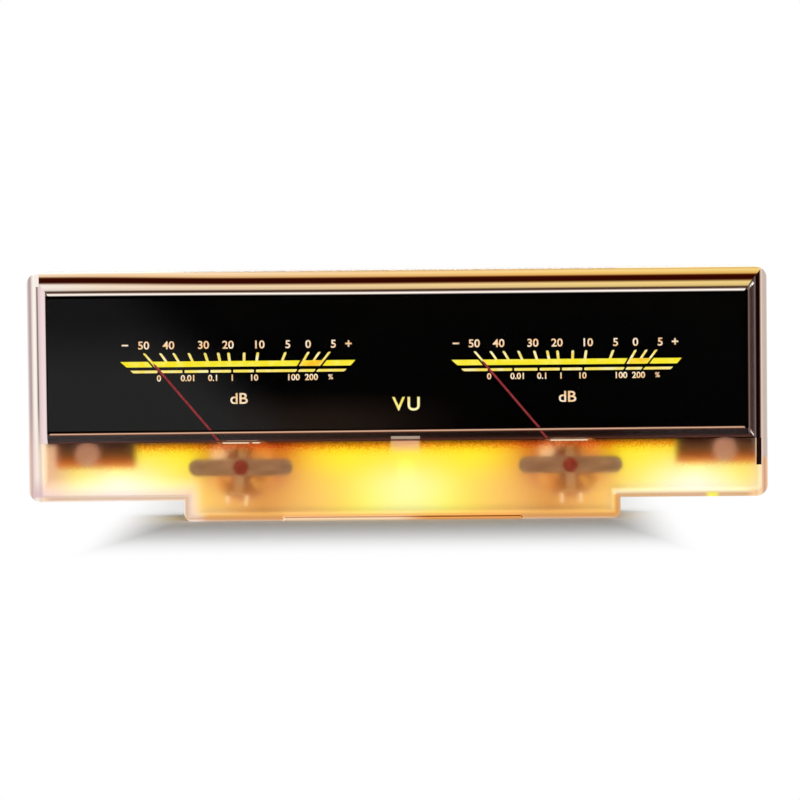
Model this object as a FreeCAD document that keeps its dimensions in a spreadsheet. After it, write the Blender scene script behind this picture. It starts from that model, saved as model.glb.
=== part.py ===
import FreeCAD, Part
import math
import os
import re

import Sketcher

# Twin-scale panel meter: a clear cover snapped on a white case, a black back-lit dial, and two
# moving-coil movements whose pointers swing in front of the dial. Millimetres.
#
# The front of the meter faces -Y and up is +Z. The origin is under the middle between the two
# movements, on the surface that the case stands on. Depths are given "ahead": the distance in front of the plane Y = 0,
# negative behind it. A sketch on the XZ plane has its normal towards the front, so its
# attachment offset and the lengths of its pads are depths of that kind too.

DIMENSIONS = {
    # case and cover
    "overall_width": 190,
    "body_shift": 1.95,
    "body_top": 64.2,
    "skirt_height": 5.3,
    "skirt_width": 112.3,
    "skirt_shift": 0.9,
    "body_corner": 3,
    "skirt_corner": 2,
    "wall": 1.5,
    "ledge_front": 16,
    "edge_round": 0.7,
    "seam": 1,
    "case_back": 12.5,
    "back_edge_round": 1.2,
    # raised window, cut to an even wall from behind
    "window_front": 17.5,
    "window_width": 184,
    "window_bottom": 20.5,
    "window_top": 60.7,
    "window_side_bevel": 1.8,
    "window_rise_bevel": 2.3,
    "window_inner_inset": 0.5,
    "floor_groove_length": 61,
    "floor_groove_height": 1,
    "floor_groove_depth": 4,
    # lip of the case inside the cover, and its snap bumps
    "lip_gap": 0.15,
    "lip_inset": 2.7,
    "lip_rise": 2.5,
    "lip_root": 4,
    "snap_length": 9,
    "snap_spread": 62,
    "snap_seat_depth": 0.5,
    "snap_seat_half": 0.5,
    "snap_bump_rise": 0.35,
    "snap_bump_half": 0.35,
    "snap_root": 0.2,
    # dial and diffuser
    "dial_back": 6.5,
    "dial_thickness": 1,
    "dial_left": 94.2,
    "dial_right": 91.3,
    "dial_top": 62.4,
    "dial_edge": 19.4,
    "dial_corner": 1,
    "ear_bottom": 13.5,
    "ear_inner": 70,
    "ear_outer": 90.5,
    "notch_top": 20.6,
    "notch_half_base": 6.7,
    "notch_half_top": 5.5,
    "dial_screw_across": 82.5,
    "dial_screw_up": 17,
    "diffuser_width": 183,
    "diffuser_bottom": 20.8,
    "diffuser_top": 61.5,
    "diffuser_thickness": 1.4,
    # posts of the case
    "dial_post": 3,
    "top_post": 2.2,
    "top_post_across": 86,
    "top_post_up": 58,
    "low_post": 1.8,
    "low_post_across": 61,
    "low_post_up": 23.1,
    "shelf_width": 7.5,
    "shelf_bottom": 17.4,
    "shelf_top": 19,
    "shelf_front": 3,
    # dial clip
    "clip_front": 8.6,
    "clip_grip": 0.05,
    "clip_finger_top": 21.4,
    "clip_heel_top": 20.3,
    "clip_heel_back": 5.2,
    # movements
    "pivot_across": 42.5,
    "pivot_up": 13.6,
    "rest_angle": -40,
    "left_lever_turn": 7.5,
    "right_lever_turn": -1,
    "base_width": 27,
    "base_height": 14,
    "base_thickness": 2,
    "post_across": 11.3,
    "post_radius": 2,
    "post_front": 11.2,
    "shell_outer": 9,
    "shell_inner": 8,
    "shell_front": 4.9,
    "shell_back": 4.7,
    "stop_ring_inner": 7.2,
    "shell_join": 0.4,
    "web_height": 2.8,
    "core_post_radius": 1,
    "core_post_up": 3.4,
    "boss_radius": 2.2,
    "boss_length": 1.1,
    # magnet system, its middle a little behind Y = 0
    "magnet_back": 3.5,
    "magnet_length": 8,
    "yoke_inner": 6.5,
    "core_radius": 4.5,
    "core_chamfer": 0.3,
    # retainer plate
    "collar_outer": 7.95,
    "neck_outer": 6.75,
    "neck_inner": 6.2,
    "neck_root": 0.2,
    "plate_back": 6.6,
    "plate_front": 7.6,
    "plate_hole": 5,
    "dome_half_top": 5.15,
    "dome_top": 6.7,
    "dome_shoulder": 7.9,
    "dome_shoulder_up": 4.6,
    "peg_radius": 0.4,
    "peg_out": 6.2,
    "peg_angle": 52,
    "peg_front": 8.9,
    # moving coil
    "coil_half_width": 5.8,
    "coil_half_height": 1.2,
    "coil_wall": 0.9,
    "coil_front": 5.9,
    "coil_back": 4.9,
    "coil_corner": 0.7,
    # staffs, hub and pointer
    "staff_foot": 1.5,
    "staff_foot_length": 0.5,
    "collet_radius": 0.9,
    "collet_front": 9.7,
    "pivot_radius": 0.3,
    "pivot_cone": 0.35,
    "front_pivot_tip": 10.4,
    "rear_collet_radius": 0.7,
    "rear_collet_end": 6.7,
    "rear_pivot_tip": 7.4,
    "needle_back": 8.45,
    "needle_thickness": 0.3,
    "needle_width": 0.55,
    "needle_tip": 35.3,
    "needle_point": 1.1,
    "needle_taper_from": 7,
    "cross_width": 0.9,
    "side_arm": 5.4,
    "tail_arm": 7.1,
    "hub_radius": 2,
    "hub_back": 8.2,
    "hub_length": 0.8,
    # balance weights
    "weight_from": 3.9,
    "tail_weight_radius": 0.8,
    "tail_weight_length": 3.18,
    "side_weight_radius": 0.7,
    "side_weight_length": 1.4,
    # bridge, jewel screws and lever
    "bridge_width": 27,
    "bridge_height": 4.4,
    "bridge_back": 11.2,
    "bridge_thickness": 1.2,
    "jewel_head": 2,
    "jewel_head_length": 0.9,
    "jewel_shank": 1.3,
    "jewel_back": 9.9,
    "cup_radius": 0.55,
    "cup_depth": 0.6,
    "jewel_slot_width": 0.5,
    "jewel_slot_depth": 0.4,
    "rear_jewel_front": 6.9,
    "rear_jewel_back": 10.3,
    "nut_across": 2.2,
    "nut_front": 10.5,
    "nut_back": 9.95,
    "lever_back": 10.6,
    "lever_thickness": 0.5,
    "lever_bore": 1.36,
    "lever_ring": 2.6,
    "lever_width": 2.45,
    "lever_tail_width": 2,
    "lever_tail_top": 4.8,
    "fork_top": 6.4,
    "fork_bottom": 9.7,
    "fork_width": 5.4,
    "fork_gap": 4.2,
    "fork_bar": 0.6,
    "fork_front": 13.4,
    "stud_radius": 0.35,
    "stud_up": 4.1,
    "stud_back": 9.2,
    # hairsprings
    "spring_width": 0.3,
    "spring_strip": 0.14,
    "front_spring_back": 9.3,
    "front_spring_first": 1.2,
    "front_spring_pitch": 0.62,
    "front_spring_halves": 8,
    "rear_spring_front": 5.8,
    "rear_spring_first": 0.95,
    "rear_spring_pitch": 0.46,
    "rear_spring_halves": 6,
    # screws
    "bridge_screw_head": 1.6,
    "bridge_screw_head_length": 0.8,
    "bridge_screw_shank": 0.7,
    "bridge_screw_end": 7.5,
    "bridge_hole": 0.8,
    "dial_screw_head": 3.1,
    "dial_screw_head_length": 1,
    "dial_screw_shank": 0.9,
    "dial_screw_end": 1.5,
    "dial_hole": 1,
    "movement_screw_head": 2,
    "movement_screw_head_length": 1.3,
    "movement_screw_shank": 1,
    "movement_screw_end": 3.6,
    "movement_hole": 1.15,
    "head_chamfer": 0.3,
    "driver_slot_width": 0.5,
    "driver_slot_depth": 0.4,
    "screw_hole_spare": 0.4,
    # lamps
    "lamp_across": 75,
    "lamp_up": 11.7,
    "lamp_flange": 4.8,
    "lamp_flange_length": 1.8,
    "lamp_plug": 3.6,
    "lamp_plug_front": 4,
    "lamp_hole": 3.7,
    "bulb_radius": 2.6,
    "bulb_front": 4,
    "bulb_seat": 3,
    "bulb_dome": 1.6,
    "tag_across": 2.4,
    "tag_width": 1.4,
    "tag_thickness": 0.4,
    "tag_back": 17.2,
    "tag_front": 10,
    "coin_slot_width": 1,
    "coin_slot_depth": 0.8,
    # terminals
    "terminal_across": 5.4,
    "terminal_drop": 4.2,
    "terminal_radius": 0.75,
    "terminal_collar": 1.5,
    "terminal_collar_length": 0.8,
    "terminal_back": 17.5,
    "terminal_front": 7.5,
}

doc = FreeCAD.newDocument("twin_meter")
dims = doc.addObject("Spreadsheet::Sheet", "dims")
for row, (alias, number) in enumerate(DIMENSIONS.items(), start=1):
    dims.set(f"A{row}", alias)
    dims.set(f"B{row}", str(number))
    dims.setAlias(f"B{row}", alias)
doc.recompute()

SIDES = {"left": -1, "right": 1}
TOLERANCE = 1e-4
made = []


# ---- expressions and sketches ------------------------------------------------------------------


def formula(text):
    """The expression with each alias in it named through its sheet."""
    return re.sub(r"[a-z]+(?:_[a-z]+)*", lambda word: named(word.group()), text)


def named(word):
    return "dims." + word if word in DIMENSIONS else word


def value(text):
    return float(dims.evalExpression(formula(text)))


def bind(thing, path, text):
    thing.setExpression(path, formula(text))


def new_body(name, across="0", up="0"):
    """An empty body, placed in the meter, listed as one of its sub-parts."""
    body = doc.addObject("PartDesign::Body", name)
    body.Label = name
    body.AllowCompound = True
    bind(body, "Placement.Base.x", across)
    bind(body, "Placement.Base.z", up)
    made.append(body)
    return body


def draw(body, name, ahead="0", role="XZ_Plane"):
    """An empty sketch on one of the body's own planes, moved along that plane's normal."""
    sketch = body.newObject("Sketcher::SketchObject", name)
    planes = body.Origin.OriginFeatures
    sketch.AttachmentSupport = (next(p for p in planes if p.Role == role), [""])
    sketch.MapMode = "FlatFace"
    bind(sketch, "AttachmentOffset.Base.z", ahead)
    return sketch


def hold(sketch, item, end, across, up):
    """Ties one point of an element to its place, measured from the sketch's axes."""
    for kind, axis, text in (("DistanceX", -2, across), ("DistanceY", -1, up)):
        if text == "0":
            sketch.addConstraint(Sketcher.Constraint("PointOnObject", item, end, axis))
        else:
            number = sketch.addConstraint(Sketcher.Constraint(kind, item, end, value(text)))
            bind(sketch, f"Constraints[{number}]", text)


def give_radius(sketch, item, text):
    number = sketch.addConstraint(Sketcher.Constraint("Radius", item, value(text)))
    bind(sketch, f"Constraints[{number}]", text)


def circle(sketch, across, up, radius):
    middle = FreeCAD.Vector(value(across), value(up), 0)
    ring = Part.Circle(middle, FreeCAD.Vector(0, 0, 1), value(radius))
    item = sketch.addGeometry(ring, False)
    hold(sketch, item, 3, across, up)
    give_radius(sketch, item, radius)


def outline(sketch, corners):
    """A closed outline of straight edges through corners given as (across, up) expressions."""
    spots = [FreeCAD.Vector(value(across), value(up), 0) for across, up in corners]
    first = sketch.GeometryCount
    for start, stop in zip(spots, spots[1:] + spots[:1]):
        sketch.addGeometry(Part.LineSegment(start, stop), False)
    for number, (across, up) in enumerate(corners):
        item = first + number
        following = first + (number + 1) % len(corners)
        sketch.addConstraint(Sketcher.Constraint("Coincident", item, 2, following, 1))
        hold(sketch, item, 1, across, up)


def rectangle(sketch, left, right, bottom, top):
    outline(sketch, [(left, bottom), (right, bottom), (right, top), (left, top)])


def stadium(sketch, half_length, radius):
    """A level bar about the sketch's origin, with round ends about points half_length away."""
    reach = value(half_length)
    size = value(radius)
    normal = FreeCAD.Vector(0, 0, 1)
    ends = []
    for across, start in ((-reach, math.pi / 2), (reach, -math.pi / 2)):
        ring = Part.Circle(FreeCAD.Vector(across, 0, 0), normal, size)
        ends.append(sketch.addGeometry(Part.ArcOfCircle(ring, start, start + math.pi), False))
    corner = {side: FreeCAD.Vector(side[0] * reach, side[1] * size, 0)
              for side in ((1, 1), (-1, 1), (-1, -1), (1, -1))}
    top = sketch.addGeometry(Part.LineSegment(corner[1, 1], corner[-1, 1]), False)
    bottom = sketch.addGeometry(Part.LineSegment(corner[-1, -1], corner[1, -1]), False)
    left, right = ends
    joints = ((top, 1, right, 2), (top, 2, left, 1), (bottom, 1, left, 2), (bottom, 2, right, 1))
    for line, end, arc, arc_end in joints:
        sketch.addConstraint(Sketcher.Constraint("Tangent", line, end, arc, arc_end))
    hold(sketch, left, 3, f"-({half_length})", "0")
    hold(sketch, right, 3, half_length, "0")
    sketch.addConstraint(Sketcher.Constraint("Equal", left, right))
    give_radius(sketch, left, radius)


# ---- features ----------------------------------------------------------------------------------


def pad(body, sketch, length):
    feature = body.newObject("PartDesign::Pad", sketch.Name + "_pad")
    feature.Profile = sketch
    bind(feature, "Length", length)
    return feature


def pocket(body, sketch, depth, forward=False):
    """Cuts away behind the sketch, or in front of it. A cut that removes nothing is an error."""
    doc.recompute()
    before = body.Shape.Volume
    feature = body.newObject("PartDesign::Pocket", sketch.Name + "_pocket")
    feature.Profile = sketch
    feature.Reversed = forward
    bind(feature, "Length", depth)
    doc.recompute()
    if body.Shape.Volume > before - TOLERANCE:
        raise RuntimeError(f"{feature.Name} cuts nothing")
    return feature


def revolve(body, sketch):
    feature = body.newObject("PartDesign::Revolution", sketch.Name + "_turned")
    feature.Profile = sketch
    feature.ReferenceAxis = (sketch, ["V_Axis"])
    feature.Angle = 360
    return feature


def edge_names(shape, wanted):
    """Names of the shape's edges that pass the test."""
    return [f"Edge{n}" for n, edge in enumerate(shape.Edges, start=1) if wanted(edge)]


def dress(body, kind, prop, text, wanted):
    """A fillet or chamfer on the edges that the test picks from the body as it is now."""
    doc.recompute()
    base = body.Tip
    names = edge_names(base.Shape, wanted)
    if not names:
        raise RuntimeError(f"{body.Label} has no edge to dress")
    feature = body.newObject("PartDesign::" + kind, f"{body.Label}_{kind}".lower())
    feature.Base = (base, names)
    bind(feature, prop, text)
    return feature


def fillet(body, radius, wanted):
    return dress(body, "Fillet", "Radius", radius, wanted)


def chamfer(body, size, wanted):
    return dress(body, "Chamfer", "Size", size, wanted)


def runs_along_depth(edge):
    box = edge.BoundBox
    return box.YLength > TOLERANCE and box.XLength < TOLERANCE and box.ZLength < TOLERANCE


def near(a, text):
    return abs(a - value(text)) < TOLERANCE


def turned(body, name, profile):
    """A solid of revolution about the body's Y axis, from (radius, ahead) corners."""
    sketch = draw(body, name, role="XY_Plane")
    outline(sketch, [(radius, f"-({ahead})" if ahead != "0" else "0") for radius, ahead in profile])
    return revolve(body, sketch)


# ---- housing -----------------------------------------------------------------------------------


def housing_outline(sketch, inset):
    """The front outline of cover and case: a wide body over a narrower skirt, moved in by inset.

    The body with its window, and by less the skirt, are set to the left of everything inside."""
    right = f"overall_width / 2 - {inset} - body_shift"
    left = f"-(overall_width / 2 - {inset}) - body_shift"
    skirt_right = f"skirt_width / 2 - {inset} - skirt_shift"
    skirt_left = f"-(skirt_width / 2 - {inset}) - skirt_shift"
    step = f"skirt_height + {inset}"
    top = f"body_top - {inset}"
    outline(sketch, [
        (skirt_left, inset), (skirt_right, inset), (skirt_right, step), (right, step),
        (right, top), (left, top), (left, step), (skirt_left, step),
    ])


def corner_edges(half_width, heights, middle="0"):
    """Picks the front-to-back edges at this distance from a middle and at these heights."""
    def at_corner(edge):
        spot = edge.CenterOfMass
        at_height = any(near(spot.z, height) for height in heights)
        return runs_along_depth(edge) and near(abs(spot.x - value(middle)), half_width) and at_height
    return at_corner


def round_outside(body):
    """Rounds the outer corners of a housing moulding, seen from the front."""
    heights = ("skirt_height", "body_top")
    fillet(body, "body_corner", corner_edges("overall_width / 2", heights, "-body_shift"))
    fillet(body, "skirt_corner", corner_edges("skirt_width / 2", ("0",), "-skirt_shift"))


def round_inside(body, inset, radius):
    """Rounds the four body corners of an outline that was moved in by inset."""
    heights = (f"skirt_height + {inset}", f"body_top - {inset}")
    fillet(body, radius, corner_edges(f"overall_width / 2 - ({inset})", heights, "-body_shift"))


def in_plane(ahead):
    """Picks the edges that lie in the plane at this depth."""
    return lambda edge: near(-edge.BoundBox.YMin, ahead) and near(-edge.BoundBox.YMax, ahead)


def snap_strips(body, name, ahead, inner, outer):
    """Four short strips along the top and bottom walls, between two insets from the outside."""
    sketch = draw(body, name, ahead)
    for side in (-1, 1):
        left = f"{side} * snap_spread - snap_length / 2"
        right = f"{side} * snap_spread + snap_length / 2"
        rectangle(sketch, left, right, f"body_top - ({inner})", f"body_top - ({outer})")
        rectangle(sketch, left, right, f"skirt_height + {outer}", f"skirt_height + {inner}")
    return sketch


def window_outline(sketch, sides, rises):
    """The raised window from the front, moved in by one inset at its sides and one above and below."""
    rectangle(sketch, f"-window_width / 2 + {sides} - body_shift", f"window_width / 2 - {sides} - body_shift",
              f"window_bottom + {rises}", f"window_top - {rises}")


def bezel(body, kind, depth, inset):
    """Adds the window's sloping block to the ledge, or cuts one from behind, this deep and moved in."""
    base = draw(body, f"{kind}_window_base", f"ledge_front - {depth}")
    window_outline(base, inset, inset)
    face = draw(body, f"{kind}_window_face", f"window_front - {depth}")
    window_outline(face, f"(window_side_bevel + {inset})", f"(window_rise_bevel + {inset})")
    slope = body.newObject(f"PartDesign::{kind}Loft", f"{kind}_window_slope")
    slope.Profile = base
    slope.Sections = [face]


def front_cover():
    """Clear shell: a wide front with the raised window, side walls, and a skirt below."""
    body = new_body("front_cover")
    shell = draw(body, "cover_shell", "seam")
    housing_outline(shell, "0")
    pad(body, shell, "ledge_front - seam")
    round_outside(body)
    fillet(body, "edge_round", in_plane("ledge_front"))
    cavity = draw(body, "cover_cavity", "seam")
    housing_outline(cavity, "wall")
    pocket(body, cavity, "ledge_front - wall - seam", forward=True)
    round_inside(body, "wall", "body_corner - wall")

    bezel(body, "Additive", "0", "0")
    bezel(body, "Subtractive", "wall", "window_inner_inset")

    groove = draw(body, "floor_groove", "ledge_front")
    rectangle(groove, "-floor_groove_length / 2 - skirt_shift", "floor_groove_length / 2 - skirt_shift",
              "0", "floor_groove_height")
    pocket(body, groove, "floor_groove_depth")
    seats = snap_strips(body, "snap_seats", "seam + lip_rise / 2 - snap_seat_half",
                        "wall + snap_root", "wall - snap_seat_depth")
    pocket(body, seats, "2 * snap_seat_half", forward=True)


def rear_case():
    """White box behind the cover: a lip that the cover snaps over, posts for the dial and its
    diffuser, a shelf for the dial clip, and holes in the back for lamps, screws and terminals."""
    body = new_body("rear_case")
    box = draw(body, "case_box", "-case_back")
    housing_outline(box, "0")
    pad(body, box, "case_back + seam")
    round_outside(body)
    fillet(body, "back_edge_round", in_plane("-case_back"))
    cavity = draw(body, "case_cavity", "seam")
    housing_outline(cavity, "wall")
    pocket(body, cavity, "case_back + seam - wall")
    root = draw(body, "lip_root_ring", "seam - lip_root")
    housing_outline(root, "wall")
    housing_outline(root, "lip_inset")
    pad(body, root, "lip_root")
    lip = draw(body, "lip_ring", "seam")
    housing_outline(lip, "(wall + lip_gap)")
    housing_outline(lip, "lip_inset")
    pad(body, lip, "lip_rise")
    round_inside(body, "(wall + lip_gap)", "body_corner - wall - lip_gap")
    bumps = snap_strips(body, "snap_bumps", "seam + lip_rise / 2 - snap_bump_half",
                        "wall + lip_gap + snap_root", "wall - snap_bump_rise")
    pad(body, bumps, "2 * snap_bump_half")

    floor = "wall - case_back"
    posts = draw(body, "dial_posts", floor)
    for side in (-1, 1):
        circle(posts, f"{side} * dial_screw_across", "dial_screw_up", "dial_post")
    pad(body, posts, f"dial_back - ({floor})")
    lights = draw(body, "diffuser_posts", floor)
    for side in (-1, 1):
        circle(lights, f"{side} * top_post_across", "top_post_up", "top_post")
        circle(lights, f"{side} * low_post_across", "low_post_up", "low_post")
    pad(body, lights, f"dial_back - diffuser_thickness - ({floor})")
    shelf = draw(body, "clip_shelf", floor)
    rectangle(shelf, "-shelf_width / 2", "shelf_width / 2", "shelf_bottom", "shelf_top")
    pad(body, shelf, f"shelf_front - ({floor})")

    pilots = draw(body, "dial_pilots", "dial_back")
    for side in (-1, 1):
        circle(pilots, f"{side} * dial_screw_across", "dial_screw_up", "dial_screw_shank")
    pocket(body, pilots, "dial_back - dial_screw_end + screw_hole_spare")
    holes = draw(body, "back_holes", floor)
    for side in (-1, 0, 1):
        circle(holes, f"{side} * lamp_across" if side else "0", "lamp_up", "lamp_hole")
    for side in SIDES.values():
        for way in (-1, 1):
            circle(holes, f"{side} * pivot_across + {way} * post_across", "pivot_up", "movement_hole")
            circle(holes, f"{side} * pivot_across + {way} * terminal_across", "pivot_up - terminal_drop",
                   "terminal_radius")
    pocket(body, holes, "wall")


def dial_plate():
    """Black dial: lower corner ears for the screws, and a notch over each movement's dome."""
    body = new_body("dial_plate")
    sketch = draw(body, "dial_outline", "dial_back")
    corners = [("-dial_left", "dial_top"), ("-dial_left", "dial_edge"), ("-ear_outer", "dial_edge"),
               ("-ear_outer", "ear_bottom"), ("-ear_inner", "ear_bottom"), ("-ear_inner", "dial_edge")]
    for sign in SIDES.values():
        for offset, up in (("-notch_half_base", "dial_edge"), ("-notch_half_top", "notch_top"),
                           ("+notch_half_top", "notch_top"), ("+notch_half_base", "dial_edge")):
            corners.append((f"{sign} * pivot_across {offset}", up))
    corners += [("ear_inner", "dial_edge"), ("ear_inner", "ear_bottom"), ("dial_right", "ear_bottom"),
                ("dial_right", "dial_top")]
    outline(sketch, corners)
    for sign in SIDES.values():
        circle(sketch, f"{sign} * dial_screw_across", "dial_screw_up", "dial_hole")
    pad(body, sketch, "dial_thickness")
    ends = [corner_edges("dial_left", ("dial_top",)), corner_edges("ear_outer", ("ear_bottom",)),
            corner_edges("dial_right", ("dial_top", "ear_bottom"))]
    fillet(body, "dial_corner", lambda edge: any(end(edge) for end in ends))


def light_diffuser():
    body = new_body("light_diffuser")
    sketch = draw(body, "diffuser_outline", "dial_back - diffuser_thickness")
    rectangle(sketch, "-diffuser_width / 2 - body_shift", "diffuser_width / 2 - body_shift",
              "diffuser_bottom", "diffuser_top")
    pad(body, sketch, "diffuser_thickness")


def dial_clip():
    """Moulded clip on the shelf of the case: it pinches the dial's lower edge in the middle."""
    body = new_body("dial_clip")
    sketch = draw(body, "clip_profile", "-shelf_width / 2", role="YZ_Plane")
    heel_front = "-(dial_back - clip_grip)"
    finger_back = "-(dial_back + dial_thickness + clip_grip)"
    outline(sketch, [
        ("-shelf_front", "shelf_bottom"), ("-shelf_front", "shelf_top"), ("-clip_heel_back", "shelf_top"),
        ("-clip_heel_back", "clip_heel_top"), (heel_front, "clip_heel_top"), (heel_front, "shelf_top"),
        (finger_back, "shelf_top"), (finger_back, "clip_finger_top"), ("-clip_front", "clip_finger_top"),
        ("-clip_front", "shelf_bottom"),
    ])
    pad(body, sketch, "shelf_width")


# ---- screws ------------------------------------------------------------------------------------


def screws(name, spots, size, seat, faces_front):
    """Slotted screws at (across, up) spots, all alike, in one node. Seat is the depth of their seat."""
    head = f"{size}_head_length"
    end = f"{size}_end"
    body = new_body(name)
    heads = draw(body, name + "_heads", seat if faces_front else f"{seat} - {head}")
    shanks = draw(body, name + "_shanks", end if faces_front else seat)
    slot_floor = f"{seat} + {head} - driver_slot_depth" if faces_front else f"{seat} - {head}"
    slots = draw(body, name + "_slots", slot_floor)
    for across, up in spots:
        circle(heads, across, up, f"{size}_head")
        circle(shanks, across, up, f"{size}_shank")
        rectangle(slots, f"{across} - {size}_head", f"{across} + {size}_head",
                  f"{up} - driver_slot_width / 2", f"{up} + driver_slot_width / 2")
    pad(body, heads, head)
    pad(body, shanks, f"{seat} - {end}" if faces_front else f"-{end} - ({seat})")
    pocket(body, slots, "driver_slot_depth", forward=True)


def bridge_screws():
    spots = [(f"{side} * pivot_across + {way} * post_across", "pivot_up")
             for side in SIDES.values() for way in (-1, 1)]
    screws("bridge_screws", spots, "bridge_screw", "(bridge_back + bridge_thickness)", True)


def dial_screws():
    spots = [(f"{side} * dial_screw_across", "dial_screw_up") for side in (-1, 1)]
    screws("dial_screws", spots, "dial_screw", "(dial_back + dial_thickness)", True)


def movement_screws():
    spots = [(f"{side} * pivot_across + {way} * post_across", "pivot_up")
             for side in SIDES.values() for way in (-1, 1)]
    screws("movement_screws", spots, "movement_screw", "(-case_back)", False)


# ---- lamps -------------------------------------------------------------------------------------


def lamp(name, across):
    """A small wedge lamp: glass bulb, turn-in holder with a coin slot, and two contact tags."""
    holder = new_body(name + "_lamp_holder", across, "lamp_up")
    turned(holder, name + "_holder_profile", [
        ("0", "-case_back - lamp_flange_length"), ("lamp_flange", "-case_back - lamp_flange_length"),
        ("lamp_flange", "-case_back"), ("lamp_plug", "-case_back"), ("lamp_plug", "-lamp_plug_front"),
        ("bulb_radius", "-lamp_plug_front"), ("bulb_radius", "-lamp_plug_front - bulb_seat"),
        ("0", "-lamp_plug_front - bulb_seat"),
    ])
    slot = draw(holder, name + "_coin_slot", "-case_back - lamp_flange_length")
    rectangle(slot, "-lamp_flange", "lamp_flange", "-coin_slot_width / 2", "coin_slot_width / 2")
    pocket(holder, slot, "coin_slot_depth", forward=True)
    seats = draw(holder, name + "_tag_seats", "-case_back - lamp_flange_length")
    tag_pair(seats)
    pocket(holder, seats, "case_back + lamp_flange_length - tag_front", forward=True)

    tags = new_body(name + "_lamp_contacts", across, "lamp_up")
    strips = draw(tags, name + "_tag_strips", "-tag_back")
    tag_pair(strips)
    pad(tags, strips, "tag_back - tag_front")

    bulb = new_body(name + "_lamp_bulb", across, "lamp_up")
    foot = "-lamp_plug_front - bulb_seat"
    glass = draw(bulb, name + "_glass", foot)
    circle(glass, "0", "0", "bulb_radius")
    pad(bulb, glass, f"bulb_front - ({foot})")
    fillet(bulb, "bulb_dome", in_plane("bulb_front"))


def tag_pair(sketch):
    for way in (-1, 1):
        middle = f"{way} * tag_across"
        rectangle(sketch, f"{middle} - tag_thickness / 2", f"{middle} + tag_thickness / 2",
                  "-tag_width / 2", "tag_width / 2")


# ---- movements: fixed pieces -------------------------------------------------------------------


def at_pivot(name, side):
    """A body whose Y axis is the pivot axis of the movement on that side."""
    return new_body(name, f"{SIDES[side]} * pivot_across", "pivot_up")


def movement_frame(side):
    """White moulding: base against the case's back, two posts for the bridge, a shell for the yoke,
    and two inner posts that carry the core through the sectors that the coil never enters."""
    body = at_pivot(side + "_movement_frame", side)
    floor = "(wall - case_back)"
    deck = "(wall - case_back + base_thickness)"
    base = draw(body, side + "_base", floor)
    stadium(base, "(base_width - base_height) / 2", "base_height / 2")
    pad(body, base, "base_thickness")
    posts = draw(body, side + "_posts", deck)
    for way in (-1, 1):
        circle(posts, f"{way} * post_across", "0", "post_radius")
    pad(body, posts, f"post_front - {deck}")
    webs = draw(body, side + "_webs", "-shell_back")
    for way in (-1, 1):
        ends = sorted((f"{way} * post_across", f"{way} * (shell_inner + shell_join)"), key=value)
        rectangle(webs, ends[0], ends[1], "-web_height / 2", "web_height / 2")
    pad(body, webs, "shell_front + shell_back")
    shell = draw(body, side + "_shell", "-shell_back")
    circle(shell, "0", "0", "shell_outer")
    circle(shell, "0", "0", "shell_inner")
    pad(body, shell, "shell_front + shell_back")
    step = draw(body, side + "_stop_ring", "-shell_back")
    circle(step, "0", "0", "shell_inner + shell_join")
    circle(step, "0", "0", "stop_ring_inner")
    pad(body, step, "shell_back - magnet_back")
    carriers = draw(body, side + "_core_posts", deck)
    for way in (-1, 1):
        circle(carriers, "0", f"{way} * core_post_up", "core_post_radius")
    pad(body, carriers, f"-magnet_back - {deck}")
    boss = draw(body, side + "_boss", deck)
    circle(boss, "0", "0", "boss_radius")
    pad(body, boss, "boss_length")

    bores = draw(body, side + "_rear_bores", floor)
    circle(bores, "0", "0", "jewel_shank")
    for way in (-1, 1):
        circle(bores, f"{way} * terminal_across", "-terminal_drop", "terminal_radius")
    pocket(body, bores, "base_thickness + boss_length", forward=True)
    pilots = draw(body, side + "_rear_pilots", floor)
    for way in (-1, 1):
        circle(pilots, f"{way} * post_across", "0", "movement_screw_shank")
    pocket(body, pilots, f"-movement_screw_end + screw_hole_spare - {floor}", forward=True)
    tapped = draw(body, side + "_front_pilots", "post_front")
    for way in (-1, 1):
        circle(tapped, f"{way} * post_across", "0", "bridge_screw_shank")
    pocket(body, tapped, "post_front - bridge_screw_end + screw_hole_spare")


def yoke_and_core(side):
    yoke = at_pivot(side + "_yoke", side)
    ring = draw(yoke, side + "_yoke_ring", "-magnet_back")
    circle(ring, "0", "0", "shell_inner")
    circle(ring, "0", "0", "yoke_inner")
    pad(yoke, ring, "magnet_length")
    core = at_pivot(side + "_core_magnet", side)
    disc = draw(core, side + "_core_disc", "-magnet_back")
    circle(disc, "0", "0", "core_radius")
    pad(core, disc, "magnet_length")
    chamfer(core, "core_chamfer", lambda edge: edge.BoundBox.YLength < TOLERANCE)


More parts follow.
